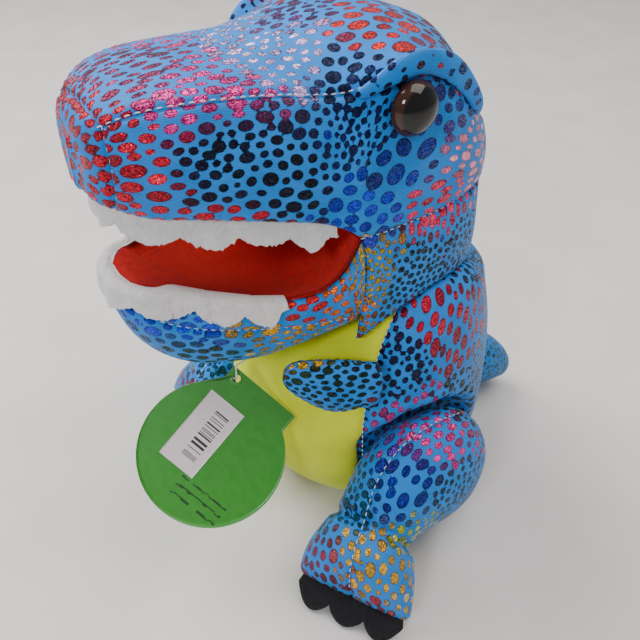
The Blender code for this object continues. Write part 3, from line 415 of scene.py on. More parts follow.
def grid_piece(name, outer, normals, thickness, finish, cloth_map=None):
    """A closed sheet: the grid, the same grid moved inwards by its thickness, and walls between their
    borders. A grid whose last column repeats its first becomes a tube, joined there."""
    m, n = outer.shape[:2]
    tube = np.allclose(outer[:, 0], outer[:, -1], atol=1e-3)
    inner = outer - normals * np.asarray(thickness)[..., None]
    both = np.concatenate([outer.reshape(-1, 3), inner.reshape(-1, 3)]) / 1000
    k = np.arange(m * n).reshape(m, n)
    if tube:
        k[:, -1] = k[:, 0]
    top, kept = wound(k, outer, normals)
    rims = [k[0, :-1], k[-1, :0:-1]]
    if not tube:
        rims = [np.concatenate([k[0, :-1], k[:-1, -1], k[-1, :0:-1], k[:0:-1, 0]])]
    rims = [r[:: -1 if kept else 1] for r in rims]
    walls = [np.stack([r, np.roll(r, -1), np.roll(r, -1) + m * n, r + m * n], -1) for r in rims]
    faces = np.concatenate([top, top[:, ::-1] + m * n, *walls])
    used, faces = np.unique(faces, return_inverse=True)
    both, faces = both[used], faces.reshape(-1, 4).astype(np.int32)
    mesh = bpy.data.meshes.new(name)
    mesh.vertices.add(len(both))
    mesh.vertices.foreach_set("co", both.ravel())
    mesh.loops.add(faces.size)
    mesh.loops.foreach_set("vertex_index", faces.ravel())
    mesh.polygons.add(len(faces))
    mesh.polygons.foreach_set("loop_start", np.arange(0, faces.size, 4, dtype=np.int32))
    mesh.polygons.foreach_set("use_smooth", np.ones(len(faces), bool))
    mesh.update(calc_edges=True)
    mesh.validate()
    if cloth_map is not None:
        flat = mesh.uv_layers.new(name="cloth")
        corner = np.empty(len(mesh.loops), np.int32)
        mesh.loops.foreach_get("vertex_index", corner)
        laid = cloth_map.reshape(-1, 2)[used[corner] % (m * n)]
        flat.data.foreach_set("uv", laid.ravel().astype(np.float32))
    mesh.materials.append(finish)
    piece = placed(name, mesh)
    piece["grid"] = (used % (m * n)).tolist()
    return piece


def sewn_panel(
    name, points, outward, seams, finish, printed=True, rise=2.0, step=1.0, fold=None, press=None, fill=1.34
):
    """A stuffed panel over a grid of points. It starts in the seams, at the edges named u, U (first and
    last row) and v, V (first and last column), and swells out over 3.5 mm as a quarter ellipse; small
    puckers 4 mm apart run in from the seam, and the lumps of the filling fade in over 12 mm. A press
    function may move the filled panel, and a fold function may add to the height."""
    points = stuffed(points, outward)
    points = press(points) if press else points
    points = through(through(points, step, 0), step, 1)
    normals = facing(points, outward)
    down = np.linalg.norm(np.diff(points, axis=0), axis=-1)
    over = np.linalg.norm(np.diff(points, axis=1), axis=-1)
    cu = np.concatenate([np.zeros((1, points.shape[1])), down.cumsum(0)])
    cv = np.concatenate([np.zeros((points.shape[0], 1)), over.cumsum(1)], 1)
    runs = {"u": (cu, cv), "U": (cu[-1] - cu, cv), "v": (cv, cu), "V": (cv[:, -1:] - cv, cu)}
    far = np.stack([runs[k][0] for k in seams])
    run = np.take_along_axis(np.stack([runs[k][1] for k in seams]), far.argmin(0)[None], 0)[0]
    far = far.min(0)
    height = rise * np.sqrt(1 - (1 - np.clip(far / 3.5, 0, 1)) ** 2)
    pucker = np.sin(2 * np.pi * run / 4.0 + 1.4 * np.sin(run / 7.0)) * np.exp(-far / 3.0) * np.clip(far, 0, 1)
    height = height + 0.32 * pucker + 0.5 * lumps(points) * np.clip(far / 12, 0, 1)
    if fold is not None:
        height = height + fold(points, far, run)
    outer = points + normals * height[..., None]
    outer[..., 2] = np.maximum(outer[..., 2], 1.0)
    piece = grid_piece(name, outer, normals, 0.8, finish, np.stack([cv, cu], -1))
    if printed:
        along = np.gradient(outer, axis=0)
        flat = [v.reshape(-1, 3) for v in (outer, normals, unit(along, 1e-6))]
        out, colour = spotted(*flat, sum(map(ord, name)), fill)
        spot = piece.data.attributes.new("spot", "FLOAT", "POINT")
        kept = np.array(piece["grid"])
        spot.data.foreach_set("value", out[kept].astype(np.float32))
        foil = piece.data.attributes.new("foil", "FLOAT_COLOR", "POINT")
        colour = np.concatenate([colour, np.ones((len(colour), 1))], 1)
        foil.data.foreach_set("color", colour[kept].ravel().astype(np.float32))
    del piece["grid"]
    return piece


# Foil-printed stretch velour: a knitted polyester with a short brushed face, fine courses 0.7 mm apart,
# and spots of hot-stamped metal foil broken into flakes of half a millimetre, each with a thin dark edge
# where it is worn.
printed_velour, tree, shader = finish_of(
    "foil_printed_stretch_velour", "#087CD2", 0.62,
    Sheen_Weight=0.12, Sheen_Roughness=0.45, Specular_IOR_Level=0.35,
)
shader.inputs["Sheen Tint"].default_value = linear("#A8DCFF")
place = node(tree, "TexCoord").outputs["Object"]
spot = node(tree, "Attribute", attribute_name="spot")
foil = node(tree, "Attribute", attribute_name="foil")
cloth = node(tree, "UVMap", uv_map="cloth")
dye = node(tree, "TexNoise", place, Scale=70.0, Detail=3.0)
tone = node(tree, "MapRange", dye, 0.3, 0.7, 0.86, 1.10)
courses = node(tree, "TexWave", cloth, bands_direction="X", Scale=0.45, Distortion=1.5, Detail=2.0)
line = node(tree, "MapRange", courses.outputs["Fac"], 0.0, 1.0, 0.93, 1.05)
both = node(tree, "Math", tone, line, operation="MULTIPLY")
blue = node(tree, "MixRGB", 1.0, linear("#087CD2"), both, blend_type="MULTIPLY")
# Each half-millimetre flake scales the foil colour by 0.4 to 2.1: painted glints, on top of the sparkle from
# the flakes' tilted normals.
flakes = node(tree, "TexVoronoi", place, Scale=1900.0)
glint = node(tree, "SeparateColor", flakes.outputs["Color"])
shine = node(tree, "MapRange", glint.outputs["Red"], 0.0, 1.0, 0.4, 2.1)
worn = node(tree, "MapRange", spot.outputs["Fac"], 0.98, 0.74, 0.22, 1.0)
lit = node(tree, "Math", shine, worn, operation="MULTIPLY")
metal = node(tree, "MixRGB", 1.0, foil, lit, blend_type="MULTIPLY")
on = node(tree, "MapRange", spot.outputs["Fac"], 1.05, 0.95, 0.0, 1.0)
face = node(tree, "MixRGB", on, blue, metal)
wire(shader, Base_Color=face)
rough = node(tree, "MapRange", on, 0.0, 1.0, 0.62, 0.3)
wire(shader, Roughness=rough)
metallic = node(tree, "Math", on, 0.7, operation="MULTIPLY")
wire(shader, Metallic=metallic)
tilt = node(tree, "VectorMath", flakes.outputs["Color"], (0.5, 0.5, 0.5), operation="SUBTRACT")
reach = node(tree, "Math", on, 1.1, operation="MULTIPLY")
tilt = node(tree, "VectorMath", tilt, operation="SCALE", Scale=reach)
upwards = node(tree, "NewGeometry").outputs["Normal"]
leaning = node(tree, "VectorMath", upwards, tilt, operation="ADD")
leaning = node(tree, "VectorMath", leaning, operation="NORMALIZE")
pile = node(tree, "TexNoise", place, Scale=1500.0, Detail=2.0)
weave = node(tree, "Math", pile, courses.outputs["Fac"], operation="ADD")
bump = node(tree, "Bump", Strength=0.25, Distance=0.0004, Height=weave, Normal=leaning)
wire(shader, Normal=bump)

# Plain velour: the same cloth, dyed yellow and unprinted, brushed a little paler where the pile lies over.
plain_velour, tree, shader = finish_of(
    "plain_brushed_velour", "#D6E00E", 0.75, Sheen_Weight=0.15, Sheen_Roughness=0.5, Specular_IOR_Level=0.25
)
place = node(tree, "TexCoord").outputs["Object"]
nap = node(tree, "TexNoise", place, Scale=55.0, Detail=4.0)
pile = node(tree, "TexNoise", place, Scale=1400.0, Detail=3.0)
bump = node(tree, "Bump", Strength=0.3, Distance=0.0004, Height=pile)
wire(shader, Base_Color=toned(tree, "#D6E00E", nap, 0.88, 1.08), Normal=bump)


def smooth(x, low, high):
    """0 below low, 1 above high and 3 t^2 - 2 t^3 between."""
    t = np.clip((x - low) / (high - low), 0, 1)
    return t * t * (3 - 2 * t)


def torso_skin():
    """The torso's outline at angles counted from straight ahead to the left, 8 steps over the belly and 10
    over each side: an ellipse at each height, cut off by the round shoulder."""
    turns = (-BELLY_ANGLE, BELLY_ANGLE, 180.0, 360.0 - BELLY_ANGLE)
    steps = [np.linspace(turns[k], turns[k + 1], n + 1)[1:] for k, n in enumerate((8, 10, 10))]
    angle = np.radians(np.concatenate([[turns[0]], *steps]))
    height, share, front, back = (np.array(c)[:, None] for c in zip(*TORSO_RINGS))
    x = share * TORSO_WIDTH * np.sin(angle)
    y = (front + back) / 2 - (back - front) / 2 * np.cos(angle)
    dome = NOD_Z + np.sqrt(np.maximum((NOD_RADIUS - SHOULDER_CLEARANCE) ** 2 - (y - NOD_Y) ** 2, 0))
    return np.stack([x, y, np.minimum(height + 0 * x, dome)], -1)


def hip_dent(points):
    """Pushes the side in to the hip's flat face over a round patch under the thigh."""
    far = np.hypot(points[..., 1] - HIP_Y, points[..., 2] - HIP_Z)
    inside = 1 - smooth(far, HIP_POCKET - 5, HIP_POCKET + 4)
    over = np.maximum(np.abs(points[..., 0]) - (HIP_X - 3.0), 0) * inside
    made = points.copy()
    made[..., 0] -= np.sign(points[..., 0]) * over
    return made


skin = torso_skin()
belly = sewn_panel("belly_velour", skin[:, :9], (0, -1, 0), "vV", plain_velour, False, press=hip_dent)
left = sewn_panel("torso_velour_left", skin[:, 8:19], (1, 0, 0), "vV", printed_velour, press=hip_dent)
right = sewn_panel("torso_velour_right", skin[:, 18:], (-1, 0, 0), "vV", printed_velour, press=hip_dent)
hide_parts("belly_panel", "torso_stuffing")
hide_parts("torso_side_left")
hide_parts("torso_side_right")
for piece in (belly, left, right):
    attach(piece, "torso")


# Seam thread ------------------------------------------------------------------------------------
# White polyester thread, twisted from two plies: where a seam is pulled open by the filling, its lock
# stitches show at the bottom of the groove as a row of short bars.
seam_thread, tree, shader = finish_of("twisted_polyester_thread", "#D9DDE0", 0.55, Sheen_Weight=0.2)
place = node(tree, "TexCoord").outputs["Object"]
plies = node(tree, "TexWave", place, bands_direction="DIAGONAL", Scale=900.0, Distortion=0.6)
twist = toned(tree, "#D9DDE0", plies.outputs["Fac"], 0.78, 1.05, 0.0, 1.0)
bump = node(tree, "Bump", Strength=0.4, Distance=0.0001, Height=plies.outputs["Fac"])
wire(shader, Base_Color=twist, Normal=bump)


def smooth_piece(name, points, faces, finish):
    """A smooth-shaded object with the given points and faces."""
    mesh = bpy.data.meshes.new(name)
    mesh.from_pydata((points.reshape(-1, 3) / 1000).tolist(), [], faces)
    mesh.polygons.foreach_set("use_smooth", np.ones(len(mesh.polygons), bool))
    mesh.materials.append(finish)
    return placed(name, mesh)


def stitches(name, seam, outward, height=0.9, pitch=3.3):
    """A row of stitches along a seam: at every pitch a bar 2.1 mm long and 0.5 mm thick with rounded ends,
    made of rings whose radius follows a half sine, and sunk at its ends."""
    line = through(np.asarray(seam, float), pitch, 0)
    run, outward = unit(np.gradient(line, axis=0)), np.asarray(outward, float)
    up = unit(outward - (run @ outward)[:, None] * run)
    side = np.cross(run, up)
    t, a = np.linspace(0, math.pi, 6)[:, None], np.linspace(0, 2 * math.pi, 7)[None, :-1]
    lengthways, thick = -1.05 * np.cos(t) + 0 * a, 0.02 + 0.26 * np.sin(t)
    across, high = thick * np.cos(a), thick * np.sin(a) + 0.3 * np.sin(t) + height - 0.3
    parts = [v[None, ..., None] for v in (lengthways, across, high)]
    verts = line[:, None, None] + parts[0] * run[:, None, None] + parts[1] * side[:, None, None]
    verts = verts + parts[2] * up[:, None, None]
    k = np.arange(verts[..., 0].size).reshape(verts.shape[:3])
    next_k = np.roll(k, -1, 2)
    quads = np.stack([k[:, :-1], k[:, 1:], next_k[:, 1:], next_k[:, :-1]], -1).reshape(-1, 4)
    ends = np.concatenate([k[:, 0], k[:, -1, ::-1]])
    return smooth_piece(name, verts, quads.tolist() + ends.tolist(), seam_thread)


for name, seam, outward in (
    ("belly_stitches_left", skin[4:11, 8], (0.8, -0.6, 0)),
    ("belly_stitches_right", skin[4:11, 0], (-0.8, -0.6, 0)),
):
    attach(stitches(name, seam, outward), "torso")


# Head -------------------------------------------------------------------------------------------
# The upper head is four panels of the foil-printed velour: a nose, a long top and two cheeks, stuffed
# firmly. The lip is their folded lower edge.
# (y, half width at the top seam, seam height, crown height, half width of cheek, the same at the lip,
# lip height)
HEAD_STATIONS = (
    (-133.5, 3.0, 221.0, 223.0, 4.0, 3.0, 211.0),
    (-132.5, 10.5, 228.0, 230.0, 12.0, 9.5, 205.0),
    (-129.0, 16.5, 231.0, 234.5, 18.5, 15.0, 202.0),
    (-121.0, 23.0, 235.0, 239.0, 26.0, 22.5, 199.5),
    (-108.0, 29.0, 237.0, 241.0, 33.5, 30.5, 198.0),
    (-92.0, 32.5, 236.5, 241.5, 38.0, 36.0, 194.5),
    (-76.0, 34.5, 234.5, 242.0, 41.0, 39.5, 190.0),
    (-62.0, 36.5, 232.0, 243.5, 43.5, 42.0, 185.5),
    (-52.0, 38.5, 231.0, 245.5, 45.0, 44.0, 180.0),
    (-46.0, 40.5, 232.0, 246.5, 46.0, 45.0, 175.5),
    (-38.0, 43.5, 235.5, 247.5, 47.5, 46.5, 175.8),
    (-28.0, 45.0, 237.0, 248.0, 48.5, 47.0, 176.0),
    (-14.0, 45.5, 231.5, 246.5, 49.0, 47.5, 176.5),
    (0.0, 44.5, 221.5, 242.0, 48.5, 46.5, 177.3),
    (9.0, 42.0, 213.0, 238.0, 46.5, 44.5, 178.0),
    (18.0, 36.5, 207.0, 230.5, 42.5, 41.0, 178.5),
    (29.0, 26.0, 201.0, 218.0, 31.0, 29.0, 179.5),
    (35.5, 10.0, 197.0, 204.0, 12.0, 11.0, 184.0),
    (37.0, 0.3, 196.0, 197.0, 0.3, 0.3, 184.5),
)
NOSE_STATION, CORNER_STATION = 2, 9
TOP_LAST, LIP = 4, 9
EYE_RADIUS, EYE_HEIGHT, EYE_Y, EYE_Z = 10.0, 7.0, -30.0, 225.0


def half_section(station):
    """The left half of a section from the crown to the lip: a flat power curve over the top, then a bulging
    cheek."""
    y, seam_half, seam, crown, cheek, lip_half, lip = station
    made = [(seam_half * s, y, seam + (crown - seam) * (1 - s**2.2)) for s in (0.0, 0.3, 0.6, 0.84)]
    made.append((seam_half, y, seam))
    cheek_z = lip + (seam - lip) * 0.42
    for s in (0.3, 0.6):
        made.append((cheek + (seam_half - cheek) * (1 - s) ** 1.7, y, seam + (cheek_z - seam) * s))
    made.append((cheek, y, cheek_z))
    made.append((lip_half + (cheek - lip_half) * 0.65, y, lip + (cheek_z - lip) * 0.45))
    made.append((lip_half, y, lip))
    return made


def mirrored(points):
    """The same points on the right side."""
    return points * np.array([-1.0, 1.0, 1.0])


def eye_dimple(points, far, run):
    """The cloth drawn in round the eye's shank: a bell 9 mm wide and 1.4 mm deep."""
    away = np.hypot(points[..., 1] - EYE_Y, points[..., 2] - EYE_Z)
    return -1.4 * np.exp(-((away / 9.0) ** 2)) * (np.abs(points[..., 0]) > 30)


section = np.array([half_section(s) for s in HEAD_STATIONS])
over_head = np.concatenate([section[:, :0:-1] * [-1, 1, 1], section], 1)
crown = section.shape[1] - 1
over_head[:2, [0, -1], 2] = [[204.5], [203.2]]
tip = over_head[:1] * [0, 1, 1] - [0, 0.8, 0]
on_top = slice(crown - TOP_LAST, crown + TOP_LAST + 1)
head_panels = (
    ("nose_velour", "nose_panel", np.concatenate([tip, over_head[: NOSE_STATION + 1]]), (0, -1, 0), "UvV"),
    ("head_top_velour", "head_top_panel", over_head[2:, on_top], (0, 0, 1), "uvV"),
    ("face_velour_left", "face_side_left", section[2:, TOP_LAST:], (1, 0, 0), "uvV"),
    ("face_velour_right", "face_side_right", mirrored(section[2:, TOP_LAST:]), (-1, 0, 0), "uvV"),
)
for name, stands_for, points, outward, seams in head_panels:
    piece = sewn_panel(name, points, outward, seams, printed_velour, step=0.85, fold=eye_dimple)
    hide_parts(stands_for, *(["head_stuffing"] if name == "head_top_velour" else []))
    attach(piece, "head")
for name, seam, outward in (
    ("top_seam_stitches_left", section[2:10, TOP_LAST], (0.5, 0, 0.85)),
    ("top_seam_stitches_right", mirrored(section[2:10, TOP_LAST]), (-0.5, 0, 0.85)),
    ("cheek_seam_stitches_left", section[CORNER_STATION:17, LIP], (1, 0, 0)),
    ("cheek_seam_stitches_right", mirrored(section[CORNER_STATION:17, LIP]), (-1, 0, 0)),
    ("nose_stitches_left", section[NOSE_STATION, 4:9], (1, 0, 0.2)),
    ("nose_stitches_right", mirrored(section[NOSE_STATION, 4:9]), (-1, 0, 0.2)),
):
    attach(stitches(name, seam, outward), "head")


# Mouth lining -----------------------------------------------------------------------------------
# Red craft felt, two flat pieces glued into the mouth: one arched under the upper head and one dished in
# the jaw. Pressed fibres show as a fine tangle, and the felt darkens where it is handled.
JAW_STATIONS = (
    (-46.0, 45.0, 173.0, 43.5, 137.0, 125.0),
    (-52.0, 44.0, 162.0, 43.0, 138.0, 121.5),
    (-62.0, 42.0, 154.5, 40.5, 139.0, 117.0),
    (-76.0, 39.0, 154.5, 37.0, 141.0, 113.5),
    (-92.0, 34.5, 158.5, 32.0, 144.0, 115.0),
    (-108.0, 26.5, 163.0, 24.5, 147.0, 120.0),
    (-119.0, 18.5, 166.0, 17.0, 150.5, 129.0),
    (-126.0, 11.0, 166.5, 9.5, 154.0, 140.0),
    (-129.5, 4.0, 165.0, 3.5, 158.0, 151.0),
    (-131.0, 0.3, 163.5, 0.3, 160.0, 157.0),
)
FELT = 1.2
LIP_FRONT, CORNER_Y, JAW_LENGTH = -132.5, -46.0, 83.5


def felt_of(name, colour, dark, light):
    """Pressed felt: a tangle of fibres at two scales, 0.9 mm and 4 mm, for the tone and the bump."""
    made, tree, shader = finish_of(name, colour, 0.92, Sheen_Weight=0.06, Specular_IOR_Level=0.2)
    place = node(tree, "TexCoord").outputs["Object"]
    fibre = node(tree, "TexNoise", place, Scale=1100.0, Detail=5.0, Distortion=2.5)
    blotch = node(tree, "TexNoise", place, Scale=260.0, Detail=4.0, Distortion=1.0)
    both = node(tree, "Math", fibre, blotch, operation="ADD")
    bump = node(tree, "Bump", Strength=0.9, Distance=0.0011, Height=both)
    wire(shader, Base_Color=toned(tree, colour, both, dark, light, 0.7, 1.3), Normal=bump)
    return made


def lining_rows(stations, reach, level):
    """Rows across the mouth: the edge point of each station, then points at shares of the half width on a
    parabola."""
    shares = np.array([1.0, 0.66, 0.33, 0.0, -0.33, -0.66, -1.0])
    return np.array([[(reach(s) * q, s[0], level(s, q)) for q in shares] for s in stations])


def upper_level(station, share):
    """The palate: the lip height plus an arch of 9 mm, highest half way along the mouth."""
    along = (station[0] - LIP_FRONT) / (CORNER_Y - LIP_FRONT)
    return station[6] + 0.6 + 9.0 * math.sin(math.pi * min(max(along, 0.0), 1.0)) * (1 - share**2)


def lower_level(station, share):
    """The mouth's floor: the rim height less a dip of 8 mm, deepest half way along the jaw."""
    along = (CORNER_Y - station[0]) / JAW_LENGTH
    return station[2] + 0.7 - 8.1 * math.sin(math.pi * min(max(along, 0.0), 1.0)) * (1 - share**2)


red_felt = felt_of("red_mouth_felt", "#D4120C", 0.72, 1.12)
BACK_OF_MOUTH = (-44.4, 0, 0, 0, 0, 44.5, 170.5)
lip_stations = (*HEAD_STATIONS[: CORNER_STATION + 1], BACK_OF_MOUTH)
palate = lining_rows(lip_stations, lambda s: s[5] - 1.6 * min(s[5] / 10, 1), upper_level)
floor_of_mouth = lining_rows(JAW_STATIONS, lambda s: s[1] - 1.8 * min(s[1] / 10, 1), lower_level)
for name, stands_for, points, outward, body in (
    ("palate_felt", "palate_lining", palate, (0, 0, -1), "head"),
    ("lower_mouth_felt", "lower_mouth_lining", floor_of_mouth, (0, 0, 1), "jaw"),
):
    points = through(through(points, 1.2, 0), 1.2, 1)
    normals = facing(points, outward)
    points = points + normals * (0.35 * lumps(points))[..., None]
    piece = grid_piece(name, points, normals, FELT, red_felt)
    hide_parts(stands_for)
    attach(piece, body)


# Throat -----------------------------------------------------------------------------------------
# Two panels of the printed velour close the head below the cheek seam, down to the crease at the shoulders.
THROAT_ROWS = (
    (-45.2, 44.5, 43.5),
    (-30.0, 46.5, 47.0),
    (-12.0, 47.0, 48.0),
    (4.0, 45.5, 46.5),
    (18.0, 40.5, 41.0),
    (29.0, 28.5, 29.0),
    (35.0, 12.0, 12.0),
    (36.6, 0.0, 0.0),
)


def throat_level(share):
    """An outline of the throat at a share of its height, from the crease's arc up to the cheek seam."""
    y, upper, lower = np.array(THROAT_ROWS).T
    bottom = NOD_Z + np.sqrt(NOD_RADIUS**2 - (y - NOD_Y) ** 2)
    lip = np.array(HEAD_STATIONS[CORNER_STATION:])
    top = np.interp(y, lip[:, 0], lip[:, 6])
    x = lower + (upper - lower) * share + 1.6 * math.sin(math.pi * share)
    return np.stack([x, y, bottom + (top - bottom) * share], -1)


throat = np.array([throat_level(s) for s in (0.0, 0.22, 0.5, 0.78, 1.0)])
for name, stands_for, points, side in (
    ("throat_velour_left", "throat_panel_left", throat, 1),
    ("throat_velour_right", "throat_panel_right", mirrored(throat), -1),
):
    piece = sewn_panel(name, points, (side, 0, 0), "uUvV", printed_velour, step=0.8)
    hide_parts(stands_for, *(["throat_stuffing"] if side > 0 else []))
    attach(piece, "head")


# Jaw --------------------------------------------------------------------------------------------
# A stuffed tray under the mouth: two sides and a chin panel of printed velour.
def jaw_half(station):
    """The left half of a section of the jaw: rim, side with a slight belly, seam, and a power curve to the
    chin."""
    y, rim_half, rim, seam_half, seam, chin = station
    made = [(rim_half, y, rim)]
    for s in (0.35, 0.7):
        x = rim_half + (seam_half - rim_half) * s + 1.5 * math.sin(math.pi * s) * rim_half / 45.0
        made.append((x, y, rim + (seam - rim) * s))
    made.append((seam_half, y, seam))
    for s in (0.8, 0.55, 0.28, 0.0):
        made.append((seam_half * s, y, chin + (seam - chin) * s**3.2 * 0.9))
    return made


jaw = np.array([jaw_half(s) for s in JAW_STATIONS])
chin = np.concatenate([jaw[:, 3:], mirrored(jaw[:, 6:2:-1])], 1)
for name, stands_for, points, outward in (
    ("jaw_velour_left", ("jaw_side_left", "jaw_stuffing"), jaw[:, :4], (1, 0, 0)),
    ("jaw_velour_right", ("jaw_side_right",), mirrored(jaw[:, :4]), (-1, 0, 0)),
    ("chin_velour", ("chin_panel",), chin, (0, 0, -1)),
):
    piece = sewn_panel(name, points, outward, "vV", printed_velour, step=0.85)
    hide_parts(*stands_for)
    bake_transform(piece)
for name, way in (("left", 1), ("right", -1)):
    piece = stitches("chin_stitches_" + name, jaw[1:8, 3] * [way, 1, 1], (way, -0.2, -0.4))
    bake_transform(piece)


# Teeth ------------------------------------------------------------------------------------------
# Two strips of white craft felt cut by hand in uneven round scallops: one hangs inside the upper lip, the
# other lies over the jaw's rim and hangs outside it.
def station_at(stations, y):
    """A station's values at any y, by straight lines between the given ones."""
    table = np.array(stations)
    table = table[np.argsort(table[:, 0])]
    return [np.interp(y, table[:, 0], table[:, k]) for k in range(table.shape[1])]


def upper_edge(along):
    """The line along the upper lip, -1 at the right corner and 1 at the left, bending round the nose at
    0.16."""
    away, side = np.abs(along), np.sign(along + 1e-9)
    turn = np.clip(away / 0.16, 0, 1)
    y = np.where(away < 0.16, -127.0 - 3.2 * (1 - turn**2), -127.0 + 71.0 * (away - 0.16) / 0.84)
    station = station_at(HEAD_STATIONS, np.maximum(y, -127.0))
    x = np.where(away < 0.16, turn * (station[5] - 1.0) * 0.94, station[5] - 1.2)
    return np.stack([side * x, y, station[6]], -1)


def lower_edge(along):
    """The line round the jaw's rim: a quarter ellipse at the tip, then straight back along each side."""
    away, side = np.abs(along), np.sign(along + 1e-9)
    turn = np.clip(away / 0.3, 0, 1) * math.pi / 2
    bend = -118.0
    y = np.where(away < 0.3, bend - 15.2 * np.cos(turn), bend + 39.0 * (away - 0.3) / 0.7)
    station = station_at(JAW_STATIONS, np.maximum(y, bend))
    x = (station[1] + 3.2) * np.where(away < 0.3, np.sin(turn), 1.0)
    return np.stack([side * x, y, station[2]], -1)


def scallops(along, count, valley, depth, seed):
    """How far the strip hangs: a valley depth plus a half sine to the power 0.75 for each tooth, each of
    its own size."""
    rng = np.random.default_rng(seed)
    place = (along + 1) / 2 * count
    own = rng.uniform(0.55, 1.25, count + 1)[np.clip(place.astype(int), 0, count)]
    return valley + (depth - valley) * own * np.abs(np.sin(math.pi * place)) ** 0.75


white_felt = felt_of("white_tooth_felt", "#F6F3F0", 0.86, 1.04)
along = np.linspace(-1, 1, 241)
for name, stands_for, edge, count, body, seed in (
    ("upper_tooth_felt", "upper_teeth", upper_edge, 9, "head", 4),
    ("lower_tooth_felt", "lower_teeth", lower_edge, 7, "jaw", 9),
):
    line = edge(along)
    run = unit(np.gradient(line, axis=0) * [1, 1, 0])
    out = np.cross(run, [0, 0, 1.0])
    out *= np.sign(out[120] @ [0, -1, 0])
    drop = scallops(along, count, 4.6, 9.6, seed) * (1 - 0.7 * smooth(np.abs(along), 0.86, 1.0))
    down, up, halves = np.array([0, 0, -1.0]), np.array([0, 0, 1.0]), np.array([[0.5], [1.0]])
    if name == "upper_tooth_felt":
        rows = [line + up * 2.0, line + down * 1.5]
        rows += [line + down * (2.4 + drop * s)[:, None] + out * (0.9 * s) for s in halves]
    else:
        rows = [line - out * 5.6 + up * 0.9, line - out * 3.2 + up * 1.9, line + up * 0.9 + out * 0.2]
        rows += [line + down * (drop * s - 0.5)[:, None] + out * (0.4 + 1.2 * s) for s in halves]
    strip = through(np.array(rows), 0.8, 0)
    free = np.linspace(0, 1, len(strip))[:, None]
    wave = 0.7 * np.sin(along * 31 + 1.7 * np.sin(along * 13)) * free
    ragged = 0.35 * np.random.default_rng(seed).normal(size=len(along)) * free**3
    strip = strip + out * wave[..., None] + up * ragged[..., None]
    normals = facing(strip, out[120])
    piece = grid_piece(name, strip, normals, FELT, white_felt)
    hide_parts(stands_for)
    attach(piece, body)


# Eyes -------------------------------------------------------------------------------------------
# Safety eyes: a clear brown plastic dome over a black pupil, moulded with its shank, which a pressed-on
# washer holds behind the cheek. The surface is polished.
def turned_piece(name, profile, centre, side, finish):
    """A profile of radii and heights turned round the x direction in 64 steps and closed at both ends."""
    radius, height = through(np.array(profile), 0.35, 0).T
    turn = np.linspace(0, 2 * math.pi, 64, endpoint=False)
    radius, height = radius[:, None], height[:, None]
    ring = np.stack([side * height + 0 * turn, radius * np.cos(turn), radius * np.sin(turn)], -1)
    k = np.arange(ring[..., 0].size).reshape(ring.shape[:2])
    quads = np.stack([k[:-1], np.roll(k[:-1], -1, 1), np.roll(k[1:], -1, 1), k[1:]], -1).reshape(-1, 4)
    quads = quads if side > 0 else quads[:, ::-1]
    ends = [k[0][::-1] if side > 0 else k[0], k[-1] if side > 0 else k[-1][::-1]]
    return smooth_piece(name, ring + np.array(centre), quads.tolist() + [e.tolist() for e in ends], finish)


eye_plastic, tree, shader = finish_of("polished_brown_eye_acrylic", "#1A0D08", 0.06)
shader.inputs["IOR"].default_value = 1.49
place = node(tree, "TexCoord").outputs["Object"]
apart = node(tree, "SeparateXYZ", place)
flat = node(tree, "CombineXYZ", 0.0, apart.outputs["Y"], apart.outputs["Z"])
away = node(tree, "VectorMath", flat, (0.0, EYE_Y / 1000, EYE_Z / 1000), operation="DISTANCE")
iris = node(tree, "MapRange", away.outputs["Value"], 0.0082, 0.0088, 0.0, 1.0)
streaks = node(tree, "TexNoise", place, Scale=500.0, Detail=3.0)
brown = node(tree, "MixRGB", streaks, linear("#1C0D07"), linear("#4A2816"))
seen = node(tree, "MixRGB", iris, linear("#050404"), brown)
wire(shader, Base_Color=seen)
scuff = node(tree, "TexNoise", place, Scale=900.0, Detail=2.0)
rough = node(tree, "MapRange", scuff, 0.3, 0.8, 0.04, 0.12)
wire(shader, Roughness=rough)
bump = node(tree, "Bump", Strength=0.04, Distance=0.0002, Height=scuff)
wire(shader, Normal=bump)
washer_plastic, tree, shader = finish_of("moulded_white_washer", "#E6E6E2", 0.45)
grain = node(tree, "TexNoise", node(tree, "TexCoord").outputs["Object"], Scale=900.0)
rough = node(tree, "MapRange", grain, 0.3, 0.7, 0.4, 0.52)
wire(shader, Roughness=rough)
for side, name in ((1, "left"), (-1, "right")):
    low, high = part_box("eye_" + name)
    front = max(abs(low[0]), abs(high[0])) * 1000
    base = front - EYE_HEIGHT - 0.8
    angle = np.radians(np.linspace(0, 90, 9))
    dome = [(EYE_RADIUS * math.cos(a), 0.6 + (EYE_HEIGHT + 0.2) * math.sin(a)) for a in angle[:-1]]
    profile = [(2.0, -3.0), (2.0, -1.0), (8.8, -0.9), (9.7, -0.4)] + dome + [(0.05, EYE_HEIGHT + 0.8)]
    piece = turned_piece("glossy_eye_" + name, profile, (side * base, EYE_Y, EYE_Z), side, eye_plastic)
    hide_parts("eye_" + name)
    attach(piece, "head")
    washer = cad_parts["eye_washer_" + name]
    washer.data.materials.clear()
    washer.data.materials.append(washer_plastic)


# Brow folds -------------------------------------------------------------------------------------
# Over each eye the top panel is pinched into a soft ridge and tacked down, drawn tight at both ends, so
# that it hoods the eye and runs down behind it.
BROW = (
    (-49.0, 230.5, 0.8), (-46.0, 232.5, 1.9), (-40.0, 236.5, 2.9), (-29.0, 240.0, 3.8),
    (-14.0, 236.0, 3.8), (0.0, 225.0, 2.8), (9.5, 213.5, 1.6), (12.0, 210.0, 0.6),
)


def cheek_half(y, z):
    """Half width of the head at a place on its side: the section there, read across at that height."""
    side = np.array(half_section(station_at(HEAD_STATIONS, y)))[TOP_LAST:]
    return np.interp(z, side[::-1, 2], side[::-1, 0])


